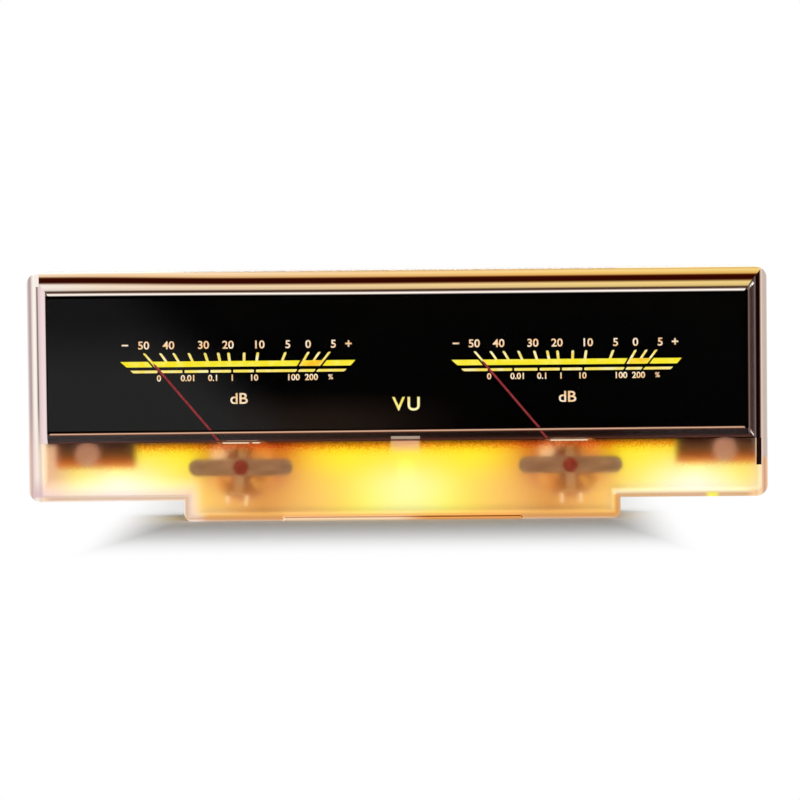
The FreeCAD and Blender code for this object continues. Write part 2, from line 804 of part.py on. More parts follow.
def yoke_retainer(side):
    """White plate with a domed top. Its collar holds the yoke in the shell, and its two pegs stop
    the needle."""
    body = at_pivot(side + "_yoke_retainer", side)
    turned(body, side + "_collar", [
        ("neck_inner", "magnet_length - magnet_back"), ("collar_outer", "magnet_length - magnet_back"),
        ("collar_outer", "shell_front"), ("neck_outer", "shell_front"),
        ("neck_outer", "plate_back + neck_root"), ("neck_inner", "plate_back + neck_root"),
    ])
    plate = draw(body, side + "_dome", "plate_back")
    outline(plate, [
        ("-dome_half_top", "dome_top"), ("-dome_shoulder", "dome_shoulder_up"),
        ("-dome_shoulder", "-dome_shoulder_up"), ("-dome_half_top", "-dome_top"),
        ("dome_half_top", "-dome_top"), ("dome_shoulder", "-dome_shoulder_up"),
        ("dome_shoulder", "dome_shoulder_up"), ("dome_half_top", "dome_top"),
    ])
    circle(plate, "0", "0", "plate_hole")
    pad(body, plate, "plate_front - plate_back")
    pegs = draw(body, side + "_pegs", "plate_front")
    for way in (-1, 1):
        across = f"{way} * peg_out * sin(peg_angle * 1deg)"
        circle(pegs, across, "peg_out * cos(peg_angle * 1deg)", "peg_radius")
    pad(body, pegs, "peg_front - plate_front")


def front_bridge(side):
    body = at_pivot(side + "_front_bridge", side)
    bar = draw(body, side + "_bar", "bridge_back")
    stadium(bar, "(bridge_width - bridge_height) / 2", "bridge_height / 2")
    circle(bar, "0", "0", "jewel_shank")
    for way in (-1, 1):
        circle(bar, f"{way} * post_across", "0", "bridge_hole")
    pad(body, bar, "bridge_thickness")


def front_jewel_screw(side):
    """Slotted jewel screw: a head on the bridge, and a conical cup that takes the front pivot."""
    body = at_pivot(side + "_front_jewel_screw", side)
    seat = "bridge_back + bridge_thickness"
    face = f"{seat} + jewel_head_length"
    turned(body, side + "_jewel_profile", [
        ("cup_radius", "jewel_back"), ("jewel_shank", "jewel_back"), ("jewel_shank", seat),
        ("jewel_head", seat), ("jewel_head", face), ("0", face), ("0", "jewel_back + cup_depth"),
    ])
    chamfer(body, "head_chamfer", in_plane(face))
    slot = draw(body, side + "_jewel_slot", f"{face} - jewel_slot_depth")
    rectangle(slot, "-jewel_head", "jewel_head", "-jewel_slot_width / 2", "jewel_slot_width / 2")
    pocket(body, slot, "jewel_slot_depth", forward=True)


def rear_jewel_screw(side):
    body = at_pivot(side + "_rear_jewel_screw", side)
    turned(body, side + "_rear_jewel_profile", [
        ("0", "-rear_jewel_back"), ("jewel_shank", "-rear_jewel_back"), ("jewel_shank", "-rear_jewel_front"),
        ("cup_radius", "-rear_jewel_front"), ("0", "-rear_jewel_front - cup_depth"),
    ])


def lever_nut(side):
    """Hexagon nut on the jewel screw, behind the zero lever."""
    body = at_pivot(side + "_lever_nut", side)
    sketch = draw(body, side + "_nut_outline", "nut_back")
    flat = "nut_across * sin(60deg)"
    outline(sketch, [
        ("nut_across", "0"), ("nut_across / 2", flat), ("-nut_across / 2", flat),
        ("-nut_across", "0"), ("-nut_across / 2", "-" + flat), ("nut_across / 2", "-" + flat),
    ])
    circle(sketch, "0", "0", "jewel_shank")
    pad(body, sketch, "nut_front - nut_back")


def terminals(side):
    """Two brass terminal pins with a collar on the case's back."""
    body = at_pivot(side + "_terminals", side)
    for name, radius, back, length in (
        ("pins", "terminal_radius", "-terminal_back", "terminal_back - terminal_front"),
        ("collars", "terminal_collar", "-case_back - terminal_collar_length", "terminal_collar_length"),
    ):
        sketch = draw(body, f"{side}_terminal_{name}", back)
        for way in (-1, 1):
            circle(sketch, f"{way} * terminal_across", "-terminal_drop", radius)
        pad(body, sketch, length)


# ---- movements: moving pieces ------------------------------------------------------------------


def on_coil(name, side):
    """A body that turns with the coil. It is drawn with its needle upright and stored at rest."""
    body = at_pivot(name, side)
    body.Placement.Rotation = FreeCAD.Rotation(FreeCAD.Vector(0, 1, 0), value("rest_angle"))
    bind(body, "Placement.Rotation.Angle", "rest_angle")
    return body


def moving_coil(side):
    """Copper winding, a flat-sided frame that spans the core from front to back."""
    body = on_coil(side + "_moving_coil", side)
    sketch = draw(body, side + "_winding", "-coil_half_height", role="XY_Plane")
    rectangle(sketch, "-coil_half_width", "coil_half_width", "-coil_front", "coil_back")
    pad(body, sketch, "2 * coil_half_height")
    fillet(body, "coil_corner", lambda edge: edge.BoundBox.ZLength > TOLERANCE)
    space = draw(body, side + "_coil_space", "coil_half_height", role="XY_Plane")
    rectangle(space, "-(coil_half_width - coil_wall)", "coil_half_width - coil_wall",
              "-(coil_front - coil_wall)", "coil_back - coil_wall")
    pocket(body, space, "2 * coil_half_height")


def pivot_staffs(side):
    """The two staffs glued to the ends of the coil: a foot, a collet for the spring and a pivot."""
    body = on_coil(side + "_pivot_staffs", side)
    turned(body, side + "_front_staff", [
        ("0", "coil_front"), ("staff_foot", "coil_front"), ("staff_foot", "coil_front + staff_foot_length"),
        ("collet_radius", "coil_front + staff_foot_length"), ("collet_radius", "collet_front"),
        ("pivot_radius", "collet_front"), ("pivot_radius", "front_pivot_tip - pivot_cone"),
        ("0", "front_pivot_tip"),
    ])
    turned(body, side + "_rear_staff", [
        ("0", "-coil_back"), ("staff_foot", "-coil_back"), ("staff_foot", "-coil_back - staff_foot_length"),
        ("rear_collet_radius", "-coil_back - staff_foot_length"), ("rear_collet_radius", "-rear_collet_end"),
        ("pivot_radius", "-rear_collet_end"), ("pivot_radius", "-rear_pivot_tip + pivot_cone"),
        ("0", "-rear_pivot_tip"),
    ])


def pointer(side):
    """Needle with its balance cross, pressed on the front collet."""
    body = on_coil(side + "_pointer", side)
    blade = draw(body, side + "_blade", "needle_back")
    thin = "needle_width / 2"
    half = "cross_width / 2"
    right = [
        (thin, "needle_tip - needle_point"), (thin, "needle_taper_from"), (half, half), ("side_arm", half),
        ("side_arm", f"-{half}"), (half, f"-{half}"), (half, "-tail_arm"),
    ]
    left = [(f"-{across}", up) for across, up in reversed(right)]
    outline(blade, [("0", "needle_tip")] + right + left)
    pad(body, blade, "needle_thickness")
    hub = draw(body, side + "_hub", "hub_back")
    circle(hub, "0", "0", "hub_radius")
    pad(body, hub, "hub_length")
    bore = draw(body, side + "_hub_bore", "hub_back")
    circle(bore, "0", "0", "collet_radius")
    pocket(body, bore, "hub_length", forward=True)


def balance_weights(side):
    """Brass sleeves on the tail and on the two side arms of the cross."""
    body = on_coil(side + "_balance_weights", side)
    level = "-(needle_back + needle_thickness / 2)"
    back = "-needle_back"
    front = "-(needle_back + needle_thickness)"
    tail = draw(body, side + "_tail_weight", "-weight_from - tail_weight_length", role="XY_Plane")
    circle(tail, "0", level, "tail_weight_radius")
    rectangle(tail, "-cross_width / 2", "cross_width / 2", front, back)
    pad(body, tail, "tail_weight_length")
    for way, start in (("near", "weight_from"), ("far", "-weight_from - side_weight_length")):
        sleeve = draw(body, f"{side}_{way}_weight", start, role="YZ_Plane")
        circle(sleeve, level, "0", "side_weight_radius")
        rectangle(sleeve, front, back, "-cross_width / 2", "cross_width / 2")
        pad(body, sleeve, "side_weight_length")


def zero_lever(side):
    """Steel lever behind the bridge: a tail with the spring's stud above, and a fork below whose
    edges are folded forward, to take an adjuster. It is stored turned to where it zeroes its needle."""
    turn = side + "_lever_turn"
    body = at_pivot(side + "_zero_lever", side)
    body.Placement.Rotation = FreeCAD.Rotation(FreeCAD.Vector(0, 1, 0), value(turn))
    bind(body, "Placement.Rotation.Angle", turn)
    arm = draw(body, side + "_lever_arm", "lever_back")
    tail = "lever_tail_width / 2"
    half = "lever_width / 2"
    wide = "fork_width / 2"
    gap = "fork_gap / 2"
    left = [
        (tail, "lever_tail_top"), (half, "0"), (half, "-fork_top"), (wide, "-fork_top"),
        (wide, "-fork_bottom"), (gap, "-fork_bottom"), (gap, "-fork_top - fork_bar"),
    ]
    right = [(f"-{across}", up) for across, up in reversed(left)]
    outline(arm, left + right)
    pad(body, arm, "lever_thickness")
    flange = draw(body, side + "_fork_flange", "lever_back")
    outline(flange, [
        (wide, "-fork_top"), (wide, "-fork_bottom"), (gap, "-fork_bottom"), (gap, "-fork_top - fork_bar"),
        (f"-{gap}", "-fork_top - fork_bar"), (f"-{gap}", "-fork_bottom"), (f"-{wide}", "-fork_bottom"),
        (f"-{wide}", "-fork_top"),
    ])
    pad(body, flange, "fork_front - lever_back")
    ring = draw(body, side + "_lever_ring", "lever_back")
    circle(ring, "0", "0", "lever_ring")
    pad(body, ring, "lever_thickness")
    stud = draw(body, side + "_lever_stud", "stud_back")
    circle(stud, "0", "stud_up", "stud_radius")
    pad(body, stud, "lever_back - stud_back")
    bore = draw(body, side + "_lever_bore", "lever_back")
    circle(bore, "0", "0", "lever_bore")
    pocket(body, bore, "lever_thickness", forward=True)


def hairspring(name, side, back, first, pitch, halves, end_turn):
    """A flat spiral strip made of half turns whose centres alternate, so each runs into the next.

    It is drawn with its outer end to the right, and stored with that end turned from the top."""
    strip = value("spring_strip")
    step = value(pitch)
    depth = -value(back)
    normal = FreeCAD.Vector(0, -1, 0)
    inner = []
    outer = []
    for turn in range(int(value(halves))):
        middle = 0 if turn % 2 == 0 else step / 2
        radius = value(first) + turn * step / 2
        sign = 1 if turn % 2 == 0 else -1
        for edges, offset in ((inner, -strip / 2), (outer, strip / 2)):
            size = radius + offset
            spots = [FreeCAD.Vector(middle + size * across, depth, sign * size * up)
                     for across, up in ((sign, 0), (0, 1), (-sign, 0))]
            edges.append(Part.Arc(*spots).toShape())
    caps = [Part.LineSegment(inner[0].firstVertex().Point, outer[0].firstVertex().Point).toShape(),
            Part.LineSegment(inner[-1].lastVertex().Point, outer[-1].lastVertex().Point).toShape()]
    face = Part.Face(Part.Wire(Part.__sortEdges__(inner + outer + caps)))
    spring = doc.addObject("Part::Feature", name)
    spring.Label = name
    spring.Shape = face.extrude(normal * value("spring_width"))
    spring.Placement = FreeCAD.Placement(
        FreeCAD.Vector(SIDES[side] * value("pivot_across"), 0, value("pivot_up")),
        FreeCAD.Rotation(FreeCAD.Vector(0, 1, 0), value(end_turn) - 90))
    made.append(spring)


# ---- the meter ---------------------------------------------------------------------------------

front_cover()
rear_case()
dial_plate()
light_diffuser()
dial_clip()
dial_screws()
bridge_screws()
movement_screws()
for lamp_name, lamp_place in (("left", "-lamp_across"), ("centre", "0"), ("right", "lamp_across")):
    lamp(lamp_name, lamp_place)
for meter_side in SIDES:
    movement_frame(meter_side)
    yoke_and_core(meter_side)
    yoke_retainer(meter_side)
    front_bridge(meter_side)
    front_jewel_screw(meter_side)
    rear_jewel_screw(meter_side)
    lever_nut(meter_side)
    terminals(meter_side)
    moving_coil(meter_side)
    pivot_staffs(meter_side)
    pointer(meter_side)
    balance_weights(meter_side)
    zero_lever(meter_side)
    hairspring(meter_side + "_front_hairspring", meter_side, "front_spring_back", "front_spring_first",
               "front_spring_pitch", "front_spring_halves", meter_side + "_lever_turn")
    hairspring(meter_side + "_rear_hairspring", meter_side, "-rear_spring_front", "rear_spring_first",
               "rear_spring_pitch", "rear_spring_halves", "0")

doc.recompute()
for item in doc.Objects:
    if {"Invalid", "Error"} & set(item.State):
        raise RuntimeError(f"{item.Name} failed: {item.State}")
os.makedirs("parts", exist_ok=True)
for item in made:
    if item.Shape.isNull() or not item.Shape.isValid():
        raise RuntimeError(f"{item.Label} has no valid shape")
    item.Shape.exportStep(f"parts/{item.Label}.step")
    print(f"{item.Label}: {len(item.Shape.Solids)} solid(s), {item.Shape.Volume:.2f} mm3")
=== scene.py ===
import math

import bmesh
import bpy
from mathutils import Matrix, Vector


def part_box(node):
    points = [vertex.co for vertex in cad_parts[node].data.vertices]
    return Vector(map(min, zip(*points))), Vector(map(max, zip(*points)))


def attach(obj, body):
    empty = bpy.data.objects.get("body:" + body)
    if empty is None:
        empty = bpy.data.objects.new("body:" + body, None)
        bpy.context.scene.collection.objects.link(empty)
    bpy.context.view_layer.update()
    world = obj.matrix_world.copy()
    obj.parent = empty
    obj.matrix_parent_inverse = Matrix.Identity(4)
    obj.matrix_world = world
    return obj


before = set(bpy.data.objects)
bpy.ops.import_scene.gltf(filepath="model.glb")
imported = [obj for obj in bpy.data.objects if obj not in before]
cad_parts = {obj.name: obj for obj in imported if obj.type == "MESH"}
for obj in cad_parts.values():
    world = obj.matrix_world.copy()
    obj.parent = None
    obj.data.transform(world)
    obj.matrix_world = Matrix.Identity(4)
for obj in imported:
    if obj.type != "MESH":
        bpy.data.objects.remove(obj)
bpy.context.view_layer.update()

# ---- camera ----------------------------------------------------------------------------------
# A long lens a metre in front of the window, three degrees above it and one degree to the right
# of its middle. The camera leans by about half a degree.
camera_azimuth = math.radians(-1.0)
camera_elevation = math.radians(3.0)
camera_roll = math.radians(-0.582)
camera_distance = 1.0
camera_target = Vector((-0.00119, -0.016, 0.03082))

lens = bpy.data.cameras.new("camera")
lens.lens = 175.3
lens.sensor_width = 36
camera = bpy.data.objects.new("camera", lens)
bpy.context.scene.collection.objects.link(camera)
looking = Vector((math.sin(camera_azimuth) * math.cos(camera_elevation),
                  math.cos(camera_azimuth) * math.cos(camera_elevation),
                  -math.sin(camera_elevation)))
upright = looking.to_track_quat("-Z", "Y").to_matrix().to_4x4()
camera.matrix_world = (Matrix.Translation(camera_target - looking * camera_distance)
                       @ upright @ Matrix.Rotation(camera_roll, 4, "Z"))
bpy.context.scene.camera = camera
bpy.context.scene.view_settings.view_transform = "Standard"


# ---- table and light -------------------------------------------------------------------------
# A white table that ends just ahead of the meter, under an even white tent. One large soft lamp
# stands behind and above, so that the shadow falls forward. A dark card in front keeps the window
# clear, and the table brightens to the tent's white a little way from the skirt.
def node(tree, kind, **settings):
    """Adds a shader node. A setting named like an input sets that input."""
    made = tree.nodes.new("ShaderNode" + kind)
    for name, setting in settings.items():
        socket = made.inputs.get(name.replace("_", " "))
        if socket is None:
            setattr(made, name, setting)
        else:
            socket.default_value = setting
    return made


def feed(tree, socket, source):
    """Links an output to an input, or sets the input to a plain value."""
    if isinstance(source, bpy.types.NodeSocket):
        tree.links.new(source, socket)
    else:
        socket.default_value = source


def sums(tree, operation, first, second=0.0):
    """A Math node on outputs or numbers. Gives its output."""
    made = node(tree, "Math", operation=operation)
    feed(tree, made.inputs[0], first)
    feed(tree, made.inputs[1], second)
    return made.outputs["Value"]


def mixed(tree, share, first, second, blend="MIX"):
    """A colour mix of outputs or plain colours. Gives its output."""
    made = node(tree, "MixRGB", blend_type=blend)
    feed(tree, made.inputs["Fac"], share)
    feed(tree, made.inputs["Color1"], first)
    feed(tree, made.inputs["Color2"], second)
    return made.outputs["Color"]


def rising(tree, source, low, high):
    """A smooth rise from 0 to 1 between two values of the source, or a fall if high is the lower."""
    made = node(tree, "MapRange", From_Min=low, From_Max=high, interpolation_type="SMOOTHSTEP")
    tree.links.new(source, made.inputs["Value"])
    return made.outputs["Result"]


def object_place(tree):
    """The X, Y and Z outputs of the object's own coordinates."""
    spot = node(tree, "SeparateXYZ")
    tree.links.new(node(tree, "TexCoord").outputs["Object"], spot.inputs["Vector"])
    return spot.outputs


def new_piece(shape, name):
    """Turns a bmesh into an object at the origin."""
    mesh = bpy.data.meshes.new(name)
    shape.to_mesh(mesh)
    shape.free()
    piece = bpy.data.objects.new(name, mesh)
    bpy.context.scene.collection.objects.link(piece)
    return piece


table_radius = 3.0
table_front = 0.3
table_white = (0.9, 0.9, 0.9, 1)
plain_white = (1, 1, 1, 1)
fade_middle = -0.0035
fade_aside = (0.054, 0.074)
fade_ahead = (-0.020, -0.118)
fade_behind = (0.06, 0.15)
tent_level = 0.42
card_level = 0.01
card_edge = (-0.8, -0.5)
softbox_power = 5.2
softbox_place = Vector((0, 0.75, 0.62))
softbox_size = (0.9, 0.5)

table_shape = bmesh.new()
bmesh.ops.create_circle(table_shape, cap_ends=True, segments=96, radius=table_radius)
bmesh.ops.translate(table_shape, verts=table_shape.verts, vec=(0, table_radius - table_front, 0))
table = new_piece(table_shape, "table")
table_finish = bpy.data.materials.new("table_white")
table_finish.use_nodes = True
tree = table_finish.node_tree
tree.nodes.clear()
spot = object_place(tree)
aside = rising(tree, sums(tree, "ABSOLUTE", sums(tree, "SUBTRACT", spot["X"], fade_middle)), *fade_aside)
ahead = rising(tree, spot["Y"], *fade_ahead)
behind = rising(tree, spot["Y"], *fade_behind)
fade = sums(tree, "MAXIMUM", sums(tree, "MAXIMUM", aside, ahead), behind)
rays = node(tree, "LightPath").outputs
seen = sums(tree, "MAXIMUM", rays["Is Camera Ray"], rays["Is Glossy Ray"])
seen = sums(tree, "MAXIMUM", seen, rays["Is Transmission Ray"])
shown = node(tree, "MixShader")
tree.links.new(sums(tree, "MULTIPLY", seen, fade), shown.inputs["Fac"])
tree.links.new(node(tree, "BsdfDiffuse", Color=table_white).outputs["BSDF"], shown.inputs[1])
tree.links.new(node(tree, "Emission").outputs["Emission"], shown.inputs[2])
tree.links.new(shown.outputs["Shader"], node(tree, "OutputMaterial").inputs["Surface"])
table.data.materials.append(table_finish)

tent = bpy.data.worlds.new("tent")
tent.use_nodes = True
bpy.context.scene.world = tent
tree = tent.node_tree
tree.nodes.clear()
toward = node(tree, "SeparateXYZ")
tree.links.new(node(tree, "TexCoord").outputs["Generated"], toward.inputs["Vector"])
card = node(tree, "MapRange", From_Min=card_edge[0], From_Max=card_edge[1], To_Min=card_level,
            interpolation_type="SMOOTHSTEP")
tree.links.new(toward.outputs["Y"], card.inputs["Value"])
rays = node(tree, "LightPath").outputs
mirrored = sums(tree, "MAXIMUM", rays["Is Glossy Ray"], rays["Is Transmission Ray"])
lit = mixed(tree, mirrored, (tent_level, tent_level, tent_level, 1), card.outputs["Result"])
sky = node(tree, "Background")
tree.links.new(mixed(tree, rays["Is Camera Ray"], lit, plain_white), sky.inputs["Color"])
tree.links.new(sky.outputs["Background"], node(tree, "OutputWorld").inputs["Surface"])

softbox = bpy.data.lights.new("softbox", "AREA")
softbox.shape = "RECTANGLE"
softbox.size, softbox.size_y = softbox_size
softbox.energy = softbox_power
softbox_stand = bpy.data.objects.new("softbox", softbox)
softbox_stand.location = softbox_place
softbox_stand.rotation_euler = (-softbox_place).to_track_quat("-Z", "Y").to_euler()
bpy.context.scene.collection.objects.link(softbox_stand)


# ---- front cover -----------------------------------------------------------------------------
# A clear acrylic moulding with a raised window, snapped over the lip of the case. The light and
# shade on its sloping edges and rims are painted on as emission. Below the window the front is
# etched fine in the tool, so that the lamps behind it show as a soft glow, and a faint painted
# glow is added there.
def colour(red, green, blue):
    """An eight-bit sRGB colour as linear red, green, blue and alpha."""
    shares = [part / 255 for part in (red, green, blue)]
    return tuple(s / 12.92 if s <= 0.04045 else ((s + 0.055) / 1.055) ** 2.4 for s in shares) + (1.0,)


def new_group(name, inputs, outputs):
    """Starts a shader group. Inputs are (label, start value) and outputs (label, kind)."""
    group = bpy.data.node_groups.new(name, "ShaderNodeTree")
    for label, start in inputs:
        socket = group.interface.new_socket(label, in_out="INPUT", socket_type="NodeSocketFloat")
        socket.default_value = start
    for label, kind in outputs:
        group.interface.new_socket(label, in_out="OUTPUT", socket_type="NodeSocket" + kind)
    return group, group.nodes.new("NodeGroupInput").outputs, group.nodes.new("NodeGroupOutput").inputs


def use_group(tree, group, **settings):
    """Places a shader group in a material, with its own values. Gives its outputs."""
    made = node(tree, "Group", node_tree=group)
    for name, setting in settings.items():
        made.inputs[name.replace("_", " ")].default_value = setting
    return made.outputs


def shades(*rows):
    """Stops for a ramp from rows of a value and an eight-bit red, green and blue."""
    return [(place, colour(red, green, blue)) for place, red, green, blue in rows]


def ramp(tree, source, stops, interpolation="LINEAR"):
    """A colour ramp over the source's values, from stops of (value, colour). Gives its output."""
    stops = sorted(stops)
    low, high = stops[0][0], stops[-1][0]
    made = node(tree, "ValToRGB")
    made.color_ramp.interpolation = interpolation
    for place, _ in stops[1:-1]:
        made.color_ramp.elements.new((place - low) / (high - low))
    for element, (_, shade) in zip(made.color_ramp.elements, stops):
        element.color = shade
    scaled = node(tree, "MapRange", From_Min=low, From_Max=high)
    tree.links.new(source, scaled.inputs["Value"])
    tree.links.new(scaled.outputs["Result"], made.inputs["Fac"])
    return made.outputs["Color"]


def new_finish(name, base, roughness, **plain):
    """A material with one Principled shader. Plain values go on its own sockets."""
    finish = bpy.data.materials.new(name)
    finish.use_nodes = True
    shader = finish.node_tree.nodes["Principled BSDF"]
    feed(finish.node_tree, shader.inputs["Base Color"], base)
    feed(finish.node_tree, shader.inputs["Roughness"], roughness)
    for label, setting in plain.items():
        shader.inputs[label.replace("_", " ")].default_value = setting
    return finish, finish.node_tree, shader.inputs


def bumped(tree, sockets, height, depth):
    """Feeds a height, times a depth in metres, into a shader's normal."""
    bump = node(tree, "Bump", Strength=1.0, Distance=depth)
    tree.links.new(height, bump.inputs["Height"])
    tree.links.new(bump.outputs["Normal"], sockets["Normal"])


def glowing(tree, sockets, light, strength=1.0):
    """Feeds a colour of light into a shader's emission."""
    tree.links.new(light, sockets["Emission Color"])
    sockets["Emission Strength"].default_value = strength


def coat_nodes(finish, *names):
    """Gives CAD nodes a finish in place of the plain one."""
    for name in names:
        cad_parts[name].material_slots[0].material = finish


lamp_pitch = 0.075
lamp_reach = lamp_pitch / 2
lamp_height = 0.0065
low_to_high = (0.007, 0.0145)
end_walls = (0.087, 0.092)
hot_across = 0.0105
hot_up = 0.0045
middle_share = 0.35
middle_to_outer = (0.03, 0.045)
black = (0, 0, 0, 1)

# The colour of the lamps' light inside the housing, painted as a glow on what lies there: palest
# beside a bulb and amber halfway to the next one, with a paler low part, a tint at each end wall,
# and a near-white spot round each bulb, weaker at the middle one.
lamp_glow, _, given = new_group("lamp_glow", [], [("Color", "Color")])
spot = object_place(lamp_glow)
sideways = sums(lamp_glow, "PINGPONG", spot["X"], lamp_reach)
low_light = ramp(lamp_glow, sideways, shades(
    (0.0, 254, 255, 140), (0.010, 254, 252, 96), (0.017, 255, 222, 90), (0.023, 252, 202, 102),
    (0.030, 238, 180, 94), (lamp_reach, 216, 150, 70)))
high_light = ramp(lamp_glow, sideways, shades(
    (0.0, 255, 236, 40), (0.010, 254, 234, 14), (0.017, 254, 246, 0), (0.023, 255, 228, 30),
    (0.029, 242, 170, 36), (lamp_reach, 214, 136, 36)))
around = mixed(lamp_glow, rising(lamp_glow, spot["Z"], *low_to_high), low_light, high_light)
from_middle = sums(lamp_glow, "ABSOLUTE", spot["X"])
at_left = sums(lamp_glow, "LESS_THAN", spot["X"], 0.0)
end_light = mixed(lamp_glow, at_left, colour(246, 206, 100), colour(222, 172, 134))
around = mixed(lamp_glow, rising(lamp_glow, from_middle, *end_walls), around, end_light)
flank = sums(lamp_glow, "DIVIDE", sideways, hot_across)
climb = sums(lamp_glow, "DIVIDE", sums(lamp_glow, "SUBTRACT", spot["Z"], lamp_height), hot_up)
reach = sums(lamp_glow, "ADD", sums(lamp_glow, "MULTIPLY", flank, flank),
             sums(lamp_glow, "MULTIPLY", climb, climb))
hot = sums(lamp_glow, "EXPONENT", sums(lamp_glow, "MULTIPLY", reach, -1.0))
outer = rising(lamp_glow, from_middle, *middle_to_outer)
strength = sums(lamp_glow, "ADD", sums(lamp_glow, "MULTIPLY", outer, 1 - middle_share), middle_share)
hot = sums(lamp_glow, "MULTIPLY", hot, strength)
lamp_glow.links.new(mixed(lamp_glow, hot, around, colour(255, 255, 240)), given["Color"])

# The skin of a moulding: a fine grain for its height and broad clouds for its shade.
skin, asked, given = new_group("moulded_skin", [("Scale", 900.0)],
                               [("Height", "Float"), ("Shade", "Float")])
place = node(skin, "TexCoord").outputs["Object"]
fine = node(skin, "TexNoise", Detail=2.0)
broad = node(skin, "TexNoise", Scale=45.0, Detail=3.0)
for layer in (fine, broad):
    skin.links.new(place, layer.inputs["Vector"])
skin.links.new(asked["Scale"], fine.inputs["Scale"])
skin.links.new(fine.outputs["Fac"], given["Height"])
skin.links.new(broad.outputs["Fac"], given["Shade"])

clear = (0.985, 0.98, 0.97, 1)
etched_clear = (0.98, 0.97, 0.95, 1)
clear_roughness = 0.02
etched_roughness = 0.5
etch_depth = 0.000012
haze_strength = 0.02
cover_low, cover_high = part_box("front_cover")
side_slope = 0.0018
rise_slope = 0.0023
window_margin = 0.003
base_line = 0.0205
head_line = 0.0607
window_left = cover_low.x + window_margin + side_slope
window_right = cover_high.x - window_margin - side_slope
window_bottom = base_line + rise_slope
window_top = head_line - rise_slope
window_rise = 0.0015
skin_margin = 0.0004
edge_round = 0.0008
step_height = 0.0053
skirt_middle = -0.0009
skirt_half = 0.05615
skirt_left = skirt_middle - skirt_half
notch_across = 0.0421
notch_half = 0.0048
notch_break = -0.0397
notch_line_width = 0.0005
strip_foot = 0.0134
# Where a painted yellow glint of the right lamp sits on the lower rim.
glint_across = 0.0788
groove_height = 0.00104
groove_half = 0.0309
groove_back = 0.0058

# Places across the slopes, in widths of a slope, and how the lines of light lie on them.
rim_inside = -0.34
slope_end = 1.03
border_start = 1.22
pale_line = 1.36
strip_end = 1.74
lower_drift = 0.9
upper_lean = 0.12
upper_lift = 0.2
left_side_rim = (0.032, 0.015)
right_side_rim = (0.0160, 0.0146)
faint_to_bright = (0.012, 0.10)

# What the edges of the clear moulding carry, painted as emission: the highlights, reflections and
# dark lines of the lamps' light on them. Color is that painted light and shade, Share how much it
# covers what lies behind, and Etched the part of the front below the window.
edge_light, _, given = new_group(
    "edge_light", [], [("Color", "Color"), ("Share", "Float"), ("Etched", "Float")])


# The next functions are short words for the nodes of this group, so that its masks can be read.
def edge_sum(operation, first, *others):
    """One operation on two or more values, from left to right."""
    for other in others:
        first = sums(edge_light, operation, first, other)
    return first


def all_of(*masks):
    return edge_sum("MULTIPLY", *masks)


def any_of(*masks):
    return edge_sum("MAXIMUM", *masks)


def least(*lengths):
    return edge_sum("MINIMUM", *lengths)


def gap(first, second):
    return edge_sum("SUBTRACT", first, second)


def magnitude(source):
    return sums(edge_light, "ABSOLUTE", source)


def beyond(source, limit):
    return edge_sum("GREATER_THAN", source, limit)


def short_of(source, limit):
    return edge_sum("LESS_THAN", source, limit)


def edge_rise(source, low, high):
    return rising(edge_light, source, low, high)


def edge_mix(share, first, second, blend="MIX"):
    return mixed(edge_light, share, first, second, blend)


# Across each of the window's slopes: below 0 on its face, 0 to 1 down the slope, past 1 beyond it.
spot = object_place(edge_light)
left = edge_sum("DIVIDE", gap(window_left, spot["X"]), side_slope)
right = edge_sum("DIVIDE", gap(spot["X"], window_right), side_slope)
top = edge_sum("DIVIDE", gap(spot["Z"], window_top), rise_slope)
bottom = edge_sum("DIVIDE", gap(window_bottom, spot["Z"]), rise_slope)
outward = any_of(left, right, top, bottom)

# How far in from the outline of the body and the skirt a point lies, and whether it is on the front.
beside = least(gap(spot["X"], cover_low.x), gap(cover_high.x, spot["X"]))
body_depth = least(beside, gap(cover_high.z, spot["Z"]), gap(spot["Z"], step_height))
from_middle = magnitude(gap(spot["X"], skirt_middle))
skirt_depth = least(gap(skirt_half, from_middle), spot["Z"])
depth = any_of(body_depth, skirt_depth)
slope = least(any_of(outward, 0.0), 1.0)
front_skin = edge_sum("ADD", all_of(slope, window_rise), cover_low.y + skin_margin,
                      all_of(edge_rise(depth, edge_round, 0.0), edge_round))
in_front = short_of(spot["Y"], front_skin)
on_left = short_of(spot["X"], 0.0)
on_right = beyond(spot["X"], 0.0)

# The painted lines of light and shade along the four slopes and on the border outside them.
left_shades = shades(
    (-0.2, 0, 0, 0), (-0.13, 140, 122, 124), (-0.07, 238, 216, 216), (0.06, 238, 216, 216),
    (0.3, 238, 217, 215), (0.6, 232, 210, 209), (0.88, 220, 197, 197), (1.0, 190, 166, 164),
    (1.1, 106, 86, 86), (1.2, 170, 150, 148), (1.32, 246, 236, 230), (1.62, 254, 246, 236),
    (1.82, 236, 222, 214), (2.08, 174, 154, 152), (2.32, 188, 170, 170), (2.5, 230, 216, 216),
    (2.66, 244, 236, 236))
right_shades = shades(
    (-0.2, 0, 0, 0), (-0.12, 60, 40, 34), (-0.02, 128, 104, 96), (0.1, 90, 66, 58), (0.25, 54, 28, 20),
    (0.5, 38, 14, 10), (0.72, 60, 40, 36), (0.9, 118, 102, 99), (1.06, 40, 24, 24), (1.16, 18, 2, 2),
    (1.55, 20, 2, 2), (1.68, 150, 124, 114), (1.8, 238, 210, 196), (2.0, 206, 184, 172),
    (2.45, 194, 182, 172), (2.66, 224, 218, 212))
